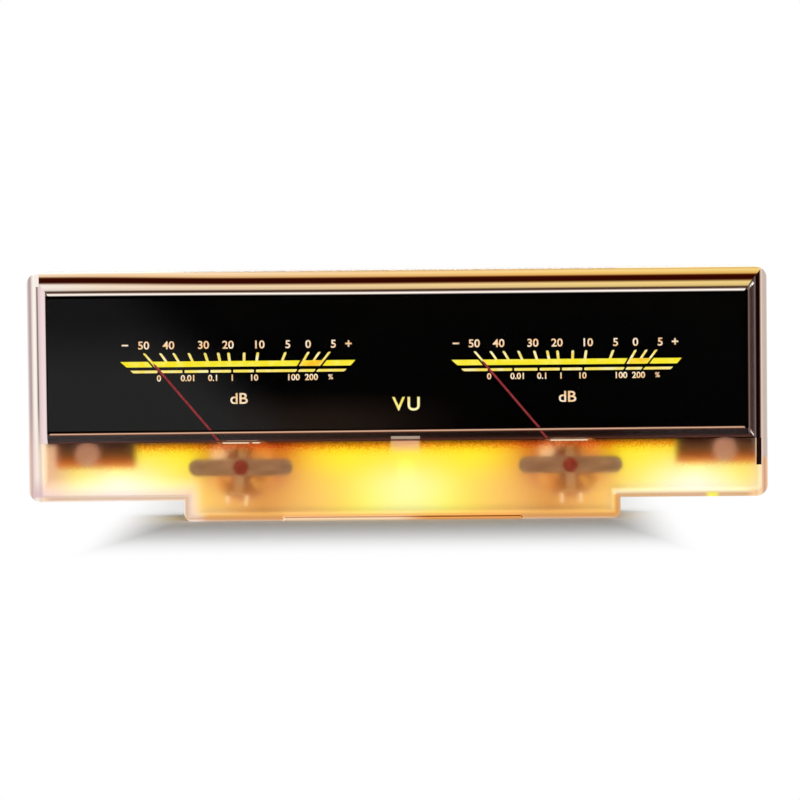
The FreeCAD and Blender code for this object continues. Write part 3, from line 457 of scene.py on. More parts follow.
upper_shades = shades(
    (-0.2, 0, 0, 0), (-0.13, 140, 130, 126), (-0.06, 255, 244, 234), (0.05, 255, 242, 230),
    (0.13, 150, 128, 116), (0.22, 56, 34, 24), (0.34, 84, 60, 46), (0.5, 226, 226, 226),
    (0.85, 248, 248, 248), (0.97, 200, 190, 184), (1.1, 96, 60, 44), (1.2, 50, 10, 4), (1.6, 56, 12, 2),
    (1.7, 110, 66, 40), (1.82, 226, 200, 170), (2.0, 246, 232, 206), (2.26, 255, 255, 255),
    (2.42, 228, 214, 208), (2.55, 244, 236, 230))
lower_shades = shades(
    (-0.24, 0, 0, 0), (-0.18, 100, 62, 40), (-0.1, 250, 206, 176), (-0.02, 150, 104, 78),
    (0.08, 56, 22, 12), (0.2, 16, 3, 2), (0.62, 18, 4, 3), (0.84, 62, 32, 26), (1.0, 86, 42, 28),
    (1.1, 0, 0, 0))
side_rim = ramp(edge_light, beside, shades(
    (0.0, 246, 234, 228), (0.0005, 226, 196, 184), (0.0009, 204, 172, 162), (0.0014, 234, 212, 204),
    (0.0022, 248, 236, 226), (0.0031, 232, 210, 192), (0.0036, 252, 224, 196), (0.006, 252, 222, 196)))
side_tint = edge_mix(edge_rise(spot["X"], -0.02, 0.02), plain_white, colour(255, 232, 200))
side_rim = edge_mix(1.0, side_rim, side_tint, "MULTIPLY")

# The lower slope: a thin painted orange highlight that drifts across it from end to end.
lower_edge = ramp(edge_light, edge_sum("ADD", bottom, all_of(spot["X"], lower_drift)), lower_shades)

# The upper slope's painted light: it leans a little at the left, and warms towards the right.
lean = all_of(edge_rise(spot["X"], 0.0, -0.085), upper_lean)
lift = all_of(edge_rise(spot["X"], -0.04, -0.094), upper_lift, edge_rise(top, 0.9, 1.2))
upper_edge = ramp(edge_light, gap(top, edge_sum("ADD", lean, lift)), upper_shades)
warm = ramp(edge_light, spot["X"], shades(
    (-0.095, 255, 244, 236), (-0.0765, 253, 230, 206), (-0.01175, 250, 214, 158),
    (0.04375, 252, 216, 138), (0.09, 246, 214, 134)))
warm = edge_mix(edge_rise(top, 0.15, 0.4), plain_white, warm)
upper_edge = edge_mix(1.0, upper_edge, warm, "MULTIPLY")

# The right slope is painted dark, a painted reflection of the dark side, and the left one a pale
# painted highlight. Lower down each runs into the painted light of the body's side rim.
right_edge = ramp(edge_light, right, right_shades)
right_column = edge_mix(edge_rise(spot["Z"], *right_side_rim), right_edge, side_rim)
at_corner = all_of(beyond(left, 0.84), beyond(top, 1.02))
to_pale = all_of(at_corner, any_of(gap(pale_line, left), 0.0))
left_edge = ramp(edge_light, edge_sum("ADD", left, to_pale), left_shades)
left_column = edge_mix(edge_rise(spot["Z"], *left_side_rim), left_edge, side_rim)
left_edge = edge_mix(edge_rise(left, 0.9, 1.1), left_edge, left_column)
left_foot = all_of(beyond(left, -0.12), beyond(bottom, -0.12))
left_part = any_of(edge_sum("COMPARE", left, outward), beyond(left, border_start), at_corner, left_foot)

# Each slope shows where it is the outermost. Share follows how bright the lines are.
edges = edge_mix(edge_sum("COMPARE", bottom, outward), black, lower_edge)
edges = edge_mix(edge_sum("COMPARE", top, outward), edges, upper_edge)
edges = edge_mix(edge_sum("COMPARE", right, outward), edges, right_edge)
edges = edge_mix(left_part, edges, left_edge)
brightness = node(edge_light, "SeparateColor")
edge_light.links.new(edges, brightness.inputs["Color"])
at_rim = all_of(beyond(outward, rim_inside), short_of(outward, 0.0))
edge_share = any_of(edge_rise(brightness.outputs["Red"], *faint_to_bright), beyond(outward, slope_end),
                    at_rim)

# Below the window, all painted light and shade: highlights on the rounded rims of the body and of
# the skirt, a yellow glint of the right lamp on the lower rim, the dark strip beside the right wall,
# the bright lines where light comes through the dial's two notches, and a pale pink glow inside
# the skirt's left corner.
body_rim = ramp(edge_light, depth, shades(
    (0.0, 248, 232, 222), (0.0004, 232, 202, 186), (0.0008, 214, 178, 156), (0.0014, 250, 226, 184),
    (0.0024, 252, 238, 190)))
skirt_rim = ramp(edge_light, depth, shades(
    (0.0, 206, 178, 158), (0.0004, 214, 160, 110), (0.0009, 216, 150, 86), (0.0014, 230, 170, 94),
    (0.0024, 240, 184, 98)))
in_skirt = any_of(edge_rise(from_middle, 0.0535, 0.0495),
                  all_of(on_right, edge_rise(spot["Z"], 0.0066, 0.0056)))
rim = edge_mix(in_skirt, body_rim, skirt_rim)
rim_glint = all_of(edge_rise(magnitude(gap(spot["X"], glint_across)), 0.0022, 0.0006),
              edge_rise(depth, 0.0014, 0.0009))
rim = edge_mix(rim_glint, rim, colour(246, 238, 60))
outer_rim = edge_mix(on_left, edge_mix(beyond(right, 1.7), side_rim, right_column), left_column)
low_light = edge_mix(edge_rise(beside, 0.0060, 0.0030), rim, outer_rim)
right_strip = all_of(beyond(right, slope_end), short_of(right, strip_end), beyond(spot["Z"], strip_foot))
low_light = edge_mix(right_strip, low_light, colour(20, 3, 2))
notch_line = all_of(short_of(magnitude(gap(magnitude(spot["X"]), notch_across)), notch_half),
                    beyond(spot["Z"], base_line - notch_line_width),
                    beyond(magnitude(gap(spot["X"], notch_break)), 0.0004))
low_light = edge_mix(notch_line, low_light, colour(252, 228, 190))
corner_glow = all_of(edge_rise(spot["X"], skirt_left + 0.0062, skirt_left + 0.0012),
                     edge_rise(spot["Z"], 0.0125, 0.0065), 0.8)
clear_of_rim = all_of(corner_glow, edge_rise(depth, 0.0008, 0.0016))
low_light = edge_mix(clear_of_rim, low_light, colour(214, 182, 190))
right_reach = edge_mix(edge_rise(spot["Z"], 0.0165, 0.0135), edge_rise(beside, 0.0033, 0.0030),
                       edge_rise(beside, 0.0030, 0.0014))
side_reach = edge_mix(on_left, right_reach, edge_rise(beside, 0.0054, 0.0034))
low_share = any_of(all_of(edge_rise(depth, 0.0028, 0.0013), 0.9), side_reach, notch_line, right_strip,
                   corner_glow)

# The shallow groove under the skirt, painted in light and dark lines of the lamps' light falling
# in it, paler on the left.
in_groove = all_of(short_of(spot["Z"], groove_height), short_of(from_middle, groove_half),
                   short_of(spot["Y"], cover_low.y + groove_back))
groove_pale = ramp(edge_light, spot["Z"], shades(
    (0.0, 250, 228, 190), (0.00022, 250, 222, 182), (0.0004, 200, 140, 110), (0.0006, 206, 142, 104),
    (0.00075, 246, 196, 146), (0.001, 250, 206, 160)))
groove_deep = ramp(edge_light, spot["Z"], shades(
    (0.0, 238, 176, 110), (0.00022, 232, 160, 84), (0.0004, 140, 72, 24), (0.0006, 150, 80, 26),
    (0.00075, 222, 146, 66), (0.001, 226, 150, 70)))
groove_light = edge_mix(edge_rise(spot["X"], -0.003, 0.006), groove_pale, groove_deep)

# Window and lower part meet at the base line.
below = all_of(edge_rise(spot["Z"], base_line - 0.0001, base_line - 0.0003), in_front)
carried = edge_mix(below, edges, edge_mix(low_share, black, low_light))
carried = edge_mix(in_groove, edge_mix(in_front, black, carried), groove_light)
covering = any_of(all_of(edge_mix(below, edge_share, low_share), in_front), in_groove)
for result, label in ((carried, "Color"), (covering, "Share"), (below, "Etched")):
    edge_light.links.new(result, given[label])

# The moulding itself. Through the etched part a painted shade darkens it towards the window, through
# a ragged orange line to near black where the dial's lower edge stands behind, and over the ears it
# takes a painted red-orange tint. A faint painted glow of the lamps lies on the etched part, fading
# out under the window.
grain_reach = 0.003
haze_fade = (0.0200, 0.0172)
clip_edge = (0.0032, 0.0042)
ear_starts = (0.0712, 0.0700)
ear_inner = (0.0684, 0.0704)
ear_outer = (0.0908, 0.0890)
opaque = (0.00001, 0.00001, 0.00001, 1)

acrylic, tree, sockets = new_finish("clear_acrylic", clear, clear_roughness, Transmission_Weight=1.0,
                                    IOR=1.49, Specular_Tint=(0.15, 0.15, 0.15, 1))
lines = use_group(tree, edge_light)
rough = node(tree, "MapRange", To_Min=clear_roughness, To_Max=etched_roughness)
tree.links.new(lines["Etched"], rough.inputs["Value"])
tree.links.new(rough.outputs["Result"], sockets["Roughness"])
etching = use_group(tree, skin, Scale=2600.0)
bumped(tree, sockets, sums(tree, "MULTIPLY", etching["Height"], lines["Etched"]), etch_depth)
spot = object_place(tree)
grain = sums(tree, "MULTIPLY", sums(tree, "SUBTRACT", etching["Height"], 0.5), grain_reach)
ragged = sums(tree, "ADD", spot["Z"], grain)
aside = sums(tree, "ABSOLUTE", spot["X"])
window_shade = ramp(tree, ragged, [(0.0164, etched_clear), (0.0179, (0.97, 0.74, 0.42, 1)),
                                (0.0191, (0.86, 0.18, 0.05, 1)), (0.0208, (0.05, 0.003, 0.0004, 1))])
open_edge = sums(tree, "MULTIPLY", rising(tree, aside, *clip_edge), rising(tree, aside, *ear_starts))
over_ear = ramp(tree, ragged, [(0.0130, etched_clear), (0.0143, (0.98, 0.62, 0.40, 1)),
                               (0.0158, (0.90, 0.48, 0.34, 1)), (0.0200, (0.86, 0.50, 0.38, 1))])
at_ear = sums(tree, "MULTIPLY", rising(tree, aside, *ear_inner), rising(tree, aside, *ear_outer))
etched_tint = mixed(tree, at_ear, mixed(tree, open_edge, etched_clear, window_shade), over_ear)
tint = mixed(tree, lines["Etched"], clear, etched_tint)
tree.links.new(mixed(tree, lines["Share"], tint, opaque), sockets["Base Color"])
haze = use_group(tree, lamp_glow)
haze_level = (haze_strength, haze_strength, haze_strength, 1)
haze_light = mixed(tree, 1.0, haze["Color"], haze_level, "MULTIPLY")
haze_share = sums(tree, "MULTIPLY", lines["Etched"], rising(tree, ragged, *haze_fade))
haze_light = mixed(tree, lines["Share"], mixed(tree, haze_share, black, haze_light), black)
glowing(tree, sockets, mixed(tree, 1.0, haze_light, lines["Color"], "ADD"))
coat_nodes(acrylic, "front_cover")

# ---- rear case -------------------------------------------------------------------------------
# A white moulded box that closes the back. Its inside is the light chamber: the lamps' light is
# painted on the walls as a glow, brightest round each bulb, and the rim under the cover shows as a
# pale glow painted on the cover.
case_low, case_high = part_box("rear_case")
chamber_wall = 0.001
skirt_top = 0.02
chamber_shade = colour(84, 48, 22)
chamber_glow = 1.0


def inside_housing(tree):
    """A mask of 1 inside the housing's walls: the wide body's box and the skirt's."""
    spot = object_place(tree)
    masks = []
    for left, right, bottom, top in ((case_low.x, case_high.x, step_height, case_high.z),
                                     (skirt_left, skirt_middle + skirt_half, 0.0, skirt_top)):
        mask = sums(tree, "GREATER_THAN", spot["X"], left + chamber_wall)
        for limit in (sums(tree, "LESS_THAN", spot["X"], right - chamber_wall),
                      sums(tree, "GREATER_THAN", spot["Z"], bottom + chamber_wall),
                      sums(tree, "LESS_THAN", spot["Z"], top - chamber_wall)):
            mask = sums(tree, "MULTIPLY", mask, limit)
        masks.append(mask)
    ahead = sums(tree, "LESS_THAN", spot["Y"], case_high.y - chamber_wall)
    return sums(tree, "MULTIPLY", sums(tree, "MAXIMUM", *masks), ahead)


def lit_plastic(name, pale, dark, roughness, grain, depth, glow, warmth=plain_white):
    """A moulded plastic with a fine skin. Inside the housing it is painted a brown shade, with the lamps'
    light painted over it as a glow.
    """
    finish, tree, sockets = new_finish(name, pale, roughness)
    made = use_group(tree, skin, Scale=grain)
    inside = inside_housing(tree)
    plastic = mixed(tree, made["Shade"], dark, pale)
    tree.links.new(mixed(tree, inside, plastic, chamber_shade), sockets["Base Color"])
    bumped(tree, sockets, made["Height"], depth)
    lamps = use_group(tree, lamp_glow)
    shine = mixed(tree, inside, black, mixed(tree, 1.0, lamps["Color"], warmth, "MULTIPLY"))
    glowing(tree, sockets, shine, glow)
    return finish


coat_nodes(lit_plastic("white_moulding", colour(243, 240, 234), colour(232, 227, 219), 0.42, 1400.0,
                       0.00001, chamber_glow), "rear_case")

# ---- dial ------------------------------------------------------------------------------------
# A clear sheet printed matt black on the front. The scales are left open in the print, and the
# light of the lamps behind the milky sheet is painted on them as a glow.
veil_middle = 0.036
veil_edge = (-0.035, -0.062)
veil_height = (0.053, 0.035)
veil_least = 0.4
low_veil_edge = (0.02, -0.02)
low_veil_height = (0.034, 0.024)
ear_foot = 0.0134
ear_top = 0.0194
ear_limit = (0.01945, 0.0193)
ear_grain = 0.7


def skinned(tree, sockets, dark, pale, grain, depth):
    """Gives a plastic a moulded skin that varies between two shades. Gives the skin's outputs."""
    made = use_group(tree, skin, Scale=grain)
    tree.links.new(mixed(tree, made["Shade"], dark, pale), sockets["Base Color"])
    bumped(tree, sockets, made["Height"], depth)
    return made


black_film, tree, sockets = new_finish("black_film", colour(12, 11, 12), 0.5, Specular_IOR_Level=0.0)
film_skin = skinned(tree, sockets, colour(7, 6, 7), colour(16, 15, 16), 1800.0, 0.000002)
spot = object_place(tree)

# Two weak painted veils of light, a sheen on the film, at the upper left and low on the left.
slant = sums(tree, "ADD", spot["X"], sums(tree, "SUBTRACT", spot["Z"], veil_middle))
upward = node(tree, "MapRange", From_Min=veil_height[0], From_Max=veil_height[1], To_Min=veil_least,
              interpolation_type="SMOOTHSTEP")
tree.links.new(spot["Z"], upward.inputs["Value"])
veil = sums(tree, "MULTIPLY", rising(tree, slant, *veil_edge), upward.outputs["Result"])
low_veil = sums(tree, "MULTIPLY", rising(tree, spot["X"], *low_veil_edge),
                rising(tree, spot["Z"], *low_veil_height))
lit_film = mixed(tree, veil, mixed(tree, low_veil, black, colour(30, 22, 17)), colour(36, 36, 36))

# The ears lie in front of the lamps, so their lower parts are painted with the lamps' orange light.
ear_height = node(tree, "MapRange", From_Min=ear_foot, From_Max=ear_top)
tree.links.new(spot["Z"], ear_height.inputs["Value"])
ear_edge = sums(tree, "ADD", ear_height.outputs["Result"],
                sums(tree, "MULTIPLY", film_skin["Height"], ear_grain))
ear_light = ramp(tree, ear_edge, shades(
    (0.2, 232, 132, 16), (0.55, 206, 104, 12), (0.78, 120, 54, 14), (1.0, 84, 48, 32), (1.4, 60, 30, 18)),
    "EASE")
in_ear = rising(tree, spot["Z"], *ear_limit)
glowing(tree, sockets, mixed(tree, in_ear, lit_film, ear_light))
coat_nodes(black_film, "dial_plate")

dial_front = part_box("dial_plate")[0].y
print_rise = 0.00003
pivot_height = 0.0136
pivot_across = 0.0425
upper_band = (0.02587, 0.02731)
lower_band = (0.02434, 0.02503)
mark_foot = 0.0272
mark_top = 0.0295
mark_width = 0.00072
band_gap = 0.00055
band_start = (-48.4, -0.0004)
band_end = (41.6, 0.0055)
band_rounding = 0.00012
lower_rounding = 0.0002
figure_line = 0.0316
percent_line = 0.02303
decibel_place = (-0.00055, 0.01768)
unit_line = 0.02955
letter_share = 0.729
letter_depth = 0.01

# Height, added boldness and width of each kind of character.
figure_cut = (0.0021, 0.016, 1.06)
sign_cut = (0.0024, 0.02, 1.0)
percent_cut = (0.0016, 0.024, 1.04)
percent_sign_cut = (0.0013, 0.024, 1.04)
decibel_cut = (0.0029, 0.012, 1.1)
unit_cut = (0.0036, 0.016, 1.04)

# Angles of the marks from upright, and distances of the figures aside of the pivot.
scale_marks = {"50": -40.3, "45": -35.2, "40": -30.5, "35": -24.5, "30": -17.4, "25": -11.1, "20": -6.0,
               "15": 1.9, "10": 8.7, "5": 21.6, "0": 30.9, "+3": 34.8, "+5": 38.1}
figure_places = {"−": -0.0299, "50": -0.0251, "40": -0.0186, "30": -0.0096, "20": -0.0032, "10": 0.0048,
                 "5": 0.0123, "0": 0.01755, "+5": 0.0241, "+": 0.0280}
percent_places = {"0": -0.0212, "0.01": -0.0136, "0.1": -0.0071, "1": -0.0022, "10": 0.0034,
                  "100": 0.0136, "200": 0.0183, "%": 0.0233}


def on_dial(scale, across, up):
    """A point of one scale, from distances aside of and above its pivot."""
    middle, stretch, drop = scale
    return middle + across * stretch, pivot_height + up - drop


def plate(shape, scale, heights, start, end, rounding, first_rounded=0):
    """A thin printed area between two heights and two slanted lines, with rounded corners.

    Each line is (angle, shift): its angle from upright through the pivot, and how far it is moved aside.
    """
    low, high = heights
    corners = [(height * math.tan(math.radians(angle)) + shift, height)
               for height, (angle, shift) in ((low, start), (low, end), (high, end), (high, start))]
    places = [on_dial(scale, across, up) for across, up in corners]
    face = shape.faces.new([shape.verts.new((across, dial_front, up)) for across, up in places])
    before = set(shape.faces) - {face}
    bmesh.ops.bevel(shape, geom=list(face.verts)[first_rounded:], offset=rounding, segments=4,
                    profile=0.5, affect="VERTICES", material=-1)
    face = next(f for f in shape.faces if f not in before)
    solid = bmesh.ops.extrude_face_region(shape, geom=[face])["geom"]
    bmesh.ops.translate(shape, verts=[v for v in solid if isinstance(v, bmesh.types.BMVert)],
                        vec=(0, -print_rise, 0))


def lettering(shape, words, place, cut):
    """Adds upright characters on the dial, centred on a point."""
    height, weight, width = cut
    text = bpy.data.curves.new("text", "FONT")
    text.body = words
    text.align_x = "CENTER"
    text.offset = weight
    text.resolution_u = 4
    text.extrude = letter_depth
    carrier = bpy.data.objects.new("text", text)
    mesh = bpy.data.meshes.new_from_object(carrier)
    tall = height / letter_share
    flat = Matrix.Diagonal((tall * width, tall, print_rise / (2 * letter_depth), 1))
    stand = Matrix.Rotation(math.radians(90), 4, "X")
    middle, up = place
    seat = Matrix.Translation((middle, dial_front - print_rise / 2, up - height / 2))
    mesh.transform(seat @ stand @ flat)
    shape.from_mesh(mesh)
    bpy.data.objects.remove(carrier)
    bpy.data.curves.remove(text)
    bpy.data.meshes.remove(mesh)


def lit_print(name, main, pale, patches):
    """An opening in the black print, painted as an uneven glow of the lit milky sheet behind it."""
    finish, tree, sockets = new_finish(name, colour(30, 24, 10), 0.5)
    cloud = node(tree, "TexNoise", Scale=patches, Detail=2.0)
    tree.links.new(node(tree, "TexCoord").outputs["Object"], cloud.inputs["Vector"])
    glowing(tree, sockets, mixed(tree, rising(tree, cloud.outputs["Fac"], 0.4, 0.65), main, pale))
    return finish


band_light = lit_print("band_light", colour(250, 232, 36), colour(252, 240, 84), 420.0)
lower_light = lit_print("lower_band_light", colour(252, 228, 96), colour(255, 240, 170), 300.0)
over_light = lit_print("over_zero_light", colour(250, 196, 34), colour(252, 222, 50), 500.0)
mark_light = lit_print("mark_light", colour(246, 222, 90), colour(255, 242, 180), 700.0)
figure_light = lit_print("figure_light", colour(250, 204, 150), colour(255, 236, 210), 520.0)
unit_light = lit_print("unit_light", colour(246, 222, 80), colour(255, 248, 190), 420.0)


def show_print(shape, name, finish):
    """Ends a printed piece: it rides on the case and takes the given finish."""
    bmesh.ops.recalc_face_normals(shape, faces=shape.faces)
    piece = new_piece(shape, name)
    piece.data.materials.append(finish)
    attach(piece, "case")


# Each scale is (middle, stretch, drop). The right one is printed slightly narrower and lower.
# The lower band is cut by small gaps at the lines in lower_cuts.
long_marks = ("50", "0", "+5")
lower_cuts = [(-48.4, -0.00045 - band_gap / 2), (0.0, -0.0213), (0.0, -0.01482), (0.0, -0.0081),
              (0.0, -0.0022), (0.0, 0.0037), (30.5, 0.0002), (37.6, 0.0005),
              (46.8, 0.00085 + band_gap / 2)]
half = mark_width / 2
mark_rounding = half * 0.9
past = -half - band_gap
for side, scale in (("left", (-pivot_across, 1.0, 0.0)), ("right", (pivot_across, 0.977, 0.00024))):
    fifty, zero, five = (scale_marks[key] for key in long_marks)
    bands = bmesh.new()
    for start, end in ((band_start, (fifty, past)), ((fifty, -half), (zero, past)),
                       ((five, half + band_gap), band_end)):
        plate(bands, scale, upper_band, start, end, band_rounding)
    show_print(bands, side + "_scale_band", band_light)
    above = bmesh.new()
    plate(above, scale, upper_band, (zero, -half), (five, half), band_rounding)
    show_print(above, side + "_over_zero_band", over_light)
    lower = bmesh.new()
    for (angle, shift), (next_angle, next_shift) in zip(lower_cuts, lower_cuts[1:]):
        plate(lower, scale, lower_band, (angle, shift + band_gap / 2),
              (next_angle, next_shift - band_gap / 2), lower_rounding)
    show_print(lower, side + "_lower_band", lower_light)
    marks = bmesh.new()
    for key, angle in scale_marks.items():
        foot = upper_band[0] if key in long_marks else mark_foot
        plate(marks, scale, (foot, mark_top), (angle, -half), (angle, half), mark_rounding,
              first_rounded=2)
    show_print(marks, side + "_scale_marks", mark_light)
    figures = bmesh.new()
    for key, across in figure_places.items():
        sign = key in "+−"
        lettering(figures, key if sign else key.strip("+"), on_dial(scale, across, figure_line),
                  sign_cut if sign else figure_cut)
    for key, across in percent_places.items():
        lettering(figures, key, on_dial(scale, across, percent_line),
                  percent_sign_cut if key == "%" else percent_cut)
    lettering(figures, "dB", on_dial(scale, *decibel_place), decibel_cut)
    show_print(figures, side + "_scale_figures", figure_light)
unit = bmesh.new()
for letter, across in (("V", -0.0017), ("U", 0.0022)):
    lettering(unit, letter, (across, unit_line), unit_cut)
show_print(unit, "unit_mark", unit_light)

# ---- milky sheet, clip and dial screws -------------------------------------------------------
# The milky sheet lies behind the dial. A moulded clip pinches the dial's lower edge, and a slotted
# zinc-plated screw holds it at each ear.
milky, tree, sockets = new_finish("milky_sheet", colour(250, 240, 222), 0.5)
skinned(tree, sockets, colour(240, 228, 206), colour(252, 244, 230), 1100.0, 0.000008)
# The sheet is painted with the lamps' light as a glow, palest beside each lamp.
near_lamps = ramp(tree, sums(tree, "PINGPONG", object_place(tree)["X"], lamp_reach),
                  shades((0.0, 255, 240, 160), (lamp_reach, 240, 190, 100)), "EASE")
glowing(tree, sockets, near_lamps, 0.8)
coat_nodes(milky, "light_diffuser")

clip_pale = colour(240, 232, 220)
clip_finish, tree, sockets = new_finish("clip_moulding", clip_pale, 0.4)
skinned(tree, sockets, colour(228, 216, 200), clip_pale, 1500.0, 0.00001)
# The clip is painted with the lamps' light as a glow: warm low down and dim at its top.
glowing(tree, sockets, ramp(tree, object_place(tree)["Z"], shades(
    (0.0172, 236, 190, 84), (0.0184, 214, 146, 66), (0.0196, 196, 108, 56), (0.0206, 112, 100, 90))))
coat_nodes(clip_finish, "dial_clip")

# The marks that drawing, turning or grinding leaves on a metal: noise drawn out along an axis.
drawn, asked, given = new_group("drawn_metal", [("Along X", 60.0), ("Along Y", 60.0), ("Along Z", 60.0)],
                                [("Height", "Float"), ("Shade", "Float")])
spot = object_place(drawn)
stretched = node(drawn, "CombineXYZ")
for axis in "XYZ":
    drawn.links.new(sums(drawn, "MULTIPLY", spot[axis], asked["Along " + axis]), stretched.inputs[axis])
streaks = node(drawn, "TexNoise", Scale=1.0, Detail=3.0)
drawn.links.new(stretched.outputs["Vector"], streaks.inputs["Vector"])
drawn.links.new(streaks.outputs["Fac"], given["Height"])
drawn.links.new(rising(drawn, streaks.outputs["Fac"], 0.3, 0.7), given["Shade"])


def worked_metal(name, pale, dark, roughness, grain, depth, glow=None, metallic=1.0):
    """A metal with the marks of how it was worked, and a painted glow of lamp light in two shades if one
    is given.
    """
    finish, tree, sockets = new_finish(name, pale, roughness, Metallic=metallic)
    worked = use_group(tree, drawn, Along_X=grain[0], Along_Y=grain[1], Along_Z=grain[2])
    tree.links.new(mixed(tree, worked["Shade"], dark, pale), sockets["Base Color"])
    bumped(tree, sockets, worked["Height"], depth)
    if glow:
        glowing(tree, sockets, mixed(tree, worked["Shade"], *glow))
    return finish


even_grain = (900, 900, 900)
# The dial screws and the bridge screws carry a painted glow of the lamps' light.
coat_nodes(worked_metal("zinc_screws", colour(208, 207, 204), colour(170, 164, 150), 0.3, even_grain,
                        0.000006, (colour(128, 86, 66), colour(152, 106, 82))), "dial_screws")
coat_nodes(worked_metal("plated_screws", colour(200, 196, 188), colour(160, 150, 136), 0.32, even_grain,
                        0.000006), "movement_screws")
coat_nodes(worked_metal("bridge_screws", colour(120, 96, 74), colour(90, 66, 48), 0.4, even_grain,
                        0.000006, (colour(120, 84, 60), colour(146, 104, 74))), "bridge_screws")

# ---- lamps -----------------------------------------------------------------------------------
# Small wedge lamps: a glass bulb pressed in a nylon holder that turns into the back of the case,
# with two flat contact tags.
# Inside the housing the holders take a painted brown shade and a painted lamp glow.
nylon = lit_plastic("nylon_holder", colour(232, 226, 210), colour(216, 206, 186), 0.5, 1200.0,
                    0.00002, 0.8)
filament_place = -0.001
filament_reach = 0.0035
filament_share = 0.5
bulb_glass, tree, sockets = new_finish("bulb_glass", colour(250, 232, 180), 0.05)
from_filament = sums(tree, "ABSOLUTE", sums(tree, "SUBTRACT", object_place(tree)["Y"], filament_place))
filament = sums(tree, "MULTIPLY", rising(tree, from_filament, filament_reach, 0.0), filament_share)
lamps = use_group(tree, lamp_glow)
glowing(tree, sockets, mixed(tree, filament, lamps["Color"], colour(255, 250, 190)), 0.9)
tags = worked_metal("tinned_brass", colour(214, 204, 178), colour(186, 168, 124), 0.35, (200, 40, 900),
                    0.000005)
for name in ("left_lamp", "centre_lamp", "right_lamp"):
    coat_nodes(nylon, name + "_holder")
    coat_nodes(bulb_glass, name + "_bulb")
    coat_nodes(tags, name + "_contacts")

# ---- movements -------------------------------------------------------------------------------
# Moving-coil movements: a white frame screwed to the back, a zinc-plated yoke round a magnet core,
# a copper coil on two pivots in jewel screws, a red needle, and a steel lever that sets the zero.
# Inside the housing the frames take a painted brown shade and a painted lamp glow, tinted.
frame_white = lit_plastic("frame_moulding", colour(240, 236, 226), colour(226, 219, 204), 0.4, 1500.0,
                          0.00001, 0.6, (1.1, 0.66, 1.4, 1))

# The dome over the yoke: its white moulding has a brown base as painted shade, and the lamps' light
# is painted over it in bands across from the lamp beside it, brighter above, with a painted
# highlight along its top, broken in places.
dome_mottle = 0.006
foot_to_top = (0.0125, 0.0155)
dome_crest = (0.0199, 0.0201)
crest_breaks = (0.40, 0.48)
dome_white, tree, sockets = new_finish("dome_moulding", colour(120, 80, 50), 0.45)
dome_skin = use_group(tree, skin, Scale=700.0)
bumped(tree, sockets, dome_skin["Height"], 0.00001)
spot = object_place(tree)
mottle = sums(tree, "MULTIPLY", sums(tree, "SUBTRACT", dome_skin["Height"], 0.5), dome_mottle)
across = sums(tree, "ADD", spot["X"], mottle)
from_pivot = mixed(tree, sums(tree, "GREATER_THAN", spot["X"], 0.0),
                   sums(tree, "ADD", across, pivot_across), sums(tree, "SUBTRACT", across, pivot_across))
dome_top = ramp(tree, from_pivot, shades(
    (-0.008, 236, 186, 134), (-0.004, 234, 186, 136), (0.0, 218, 144, 74), (0.003, 206, 126, 52),
    (0.008, 222, 140, 50)), "EASE")
dome_foot = ramp(tree, from_pivot, shades(
    (-0.008, 226, 156, 78), (-0.0045, 196, 116, 40), (-0.0022, 138, 78, 26), (0.0035, 144, 84, 32),
    (0.008, 214, 140, 60)), "EASE")
dome_light = mixed(tree, rising(tree, spot["Z"], *foot_to_top), dome_foot, dome_top)
crest_highlight = sums(tree, "MULTIPLY", rising(tree, spot["Z"], *dome_crest),
                rising(tree, dome_skin["Height"], *crest_breaks))
glowing(tree, sockets, mixed(tree, crest_highlight, dome_light, colour(255, 236, 206)), 1.1)

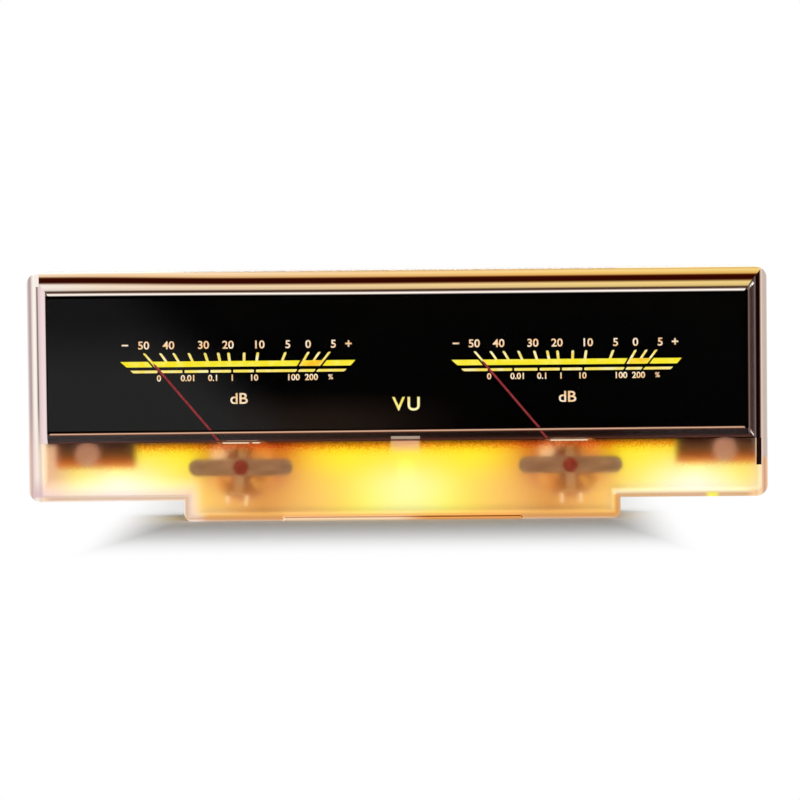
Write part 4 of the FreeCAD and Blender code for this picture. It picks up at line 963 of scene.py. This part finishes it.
# The metals, the red lacquer on the jewel screws and the needles' red paint. Where a glow is
# given, it is the lamps' light, painted in two shades; lit_brass is the lit copy of the brass.
iron = worked_metal("yoke_zinc", colour(160, 158, 156), colour(128, 124, 120), 0.35, (600, 60, 600),
                    0.000008, (colour(138, 80, 30), colour(176, 106, 46)))
magnet = worked_metal("ground_magnet", colour(64, 62, 64), colour(40, 38, 40), 0.4, (60, 900, 60),
                      0.000006)
bridge_metal = worked_metal("stamped_bridge", colour(122, 96, 74), colour(84, 62, 46), 0.45,
                            (160, 160, 1400), 0.00001, (colour(122, 82, 54), colour(152, 108, 74)))
red_lacquer = worked_metal("red_lacquer", colour(150, 34, 18), colour(96, 18, 8), 0.35,
                           (1600, 1600, 1600), 0.00001, (colour(88, 14, 0), colour(126, 32, 6)), 0.0)
turned = (colour(206, 170, 96), colour(170, 130, 64), 0.28, (80, 2400, 80), 0.000005)
brass = worked_metal("turned_brass", *turned)
lit_brass = worked_metal("lit_brass", *turned, (colour(168, 108, 40), colour(204, 142, 66)))
copper = worked_metal("copper_winding", colour(170, 92, 52), colour(96, 44, 22), 0.35, (40, 5200, 40),
                      0.00004, (colour(120, 62, 22), colour(176, 102, 44)))
steel = worked_metal("polished_steel", colour(190, 190, 190), colour(150, 150, 152), 0.2, (60, 2000, 60),
                     0.000003)
bronze = worked_metal("spring_bronze", colour(196, 146, 84), colour(150, 104, 56), 0.3, even_grain,
                      0.000003, (colour(140, 84, 30), colour(184, 118, 50)))
needle_red = worked_metal("needle_red", colour(170, 40, 44), colour(140, 26, 30), 0.4,
                          (1800, 1800, 1800), 0.000005, (colour(88, 28, 32), colour(124, 46, 50)), 0.0)
lever = worked_metal("lever_steel", colour(170, 140, 112), colour(132, 104, 80), 0.4, (900, 900, 120),
                     0.000008)
# The lever is painted with the lamps' light: pale low down near them and dimmer above.
tree = lever.node_tree
glowing(tree, tree.nodes["Principled BSDF"].inputs, ramp(tree, object_place(tree)["Z"], shades(
    (0.003, 250, 206, 150), (0.0060, 248, 204, 146), (0.0068, 176, 118, 60), (0.013, 150, 108, 72),
    (0.018, 150, 106, 60)), "EASE"))
for side in ("left_", "right_"):
    coat_nodes(frame_white, side + "movement_frame")
    coat_nodes(dome_white, side + "yoke_retainer")
    coat_nodes(iron, side + "yoke")
    coat_nodes(magnet, side + "core_magnet")
    coat_nodes(bridge_metal, side + "front_bridge")
    coat_nodes(red_lacquer, side + "front_jewel_screw")
    coat_nodes(brass, side + "terminals")
    coat_nodes(lit_brass, side + "rear_jewel_screw", side + "lever_nut", side + "balance_weights")
    coat_nodes(copper, side + "moving_coil")
    coat_nodes(steel, side + "pivot_staffs")
    coat_nodes(lever, side + "zero_lever")
    coat_nodes(bronze, side + "front_hairspring", side + "rear_hairspring")
    coat_nodes(needle_red, side + "pointer")
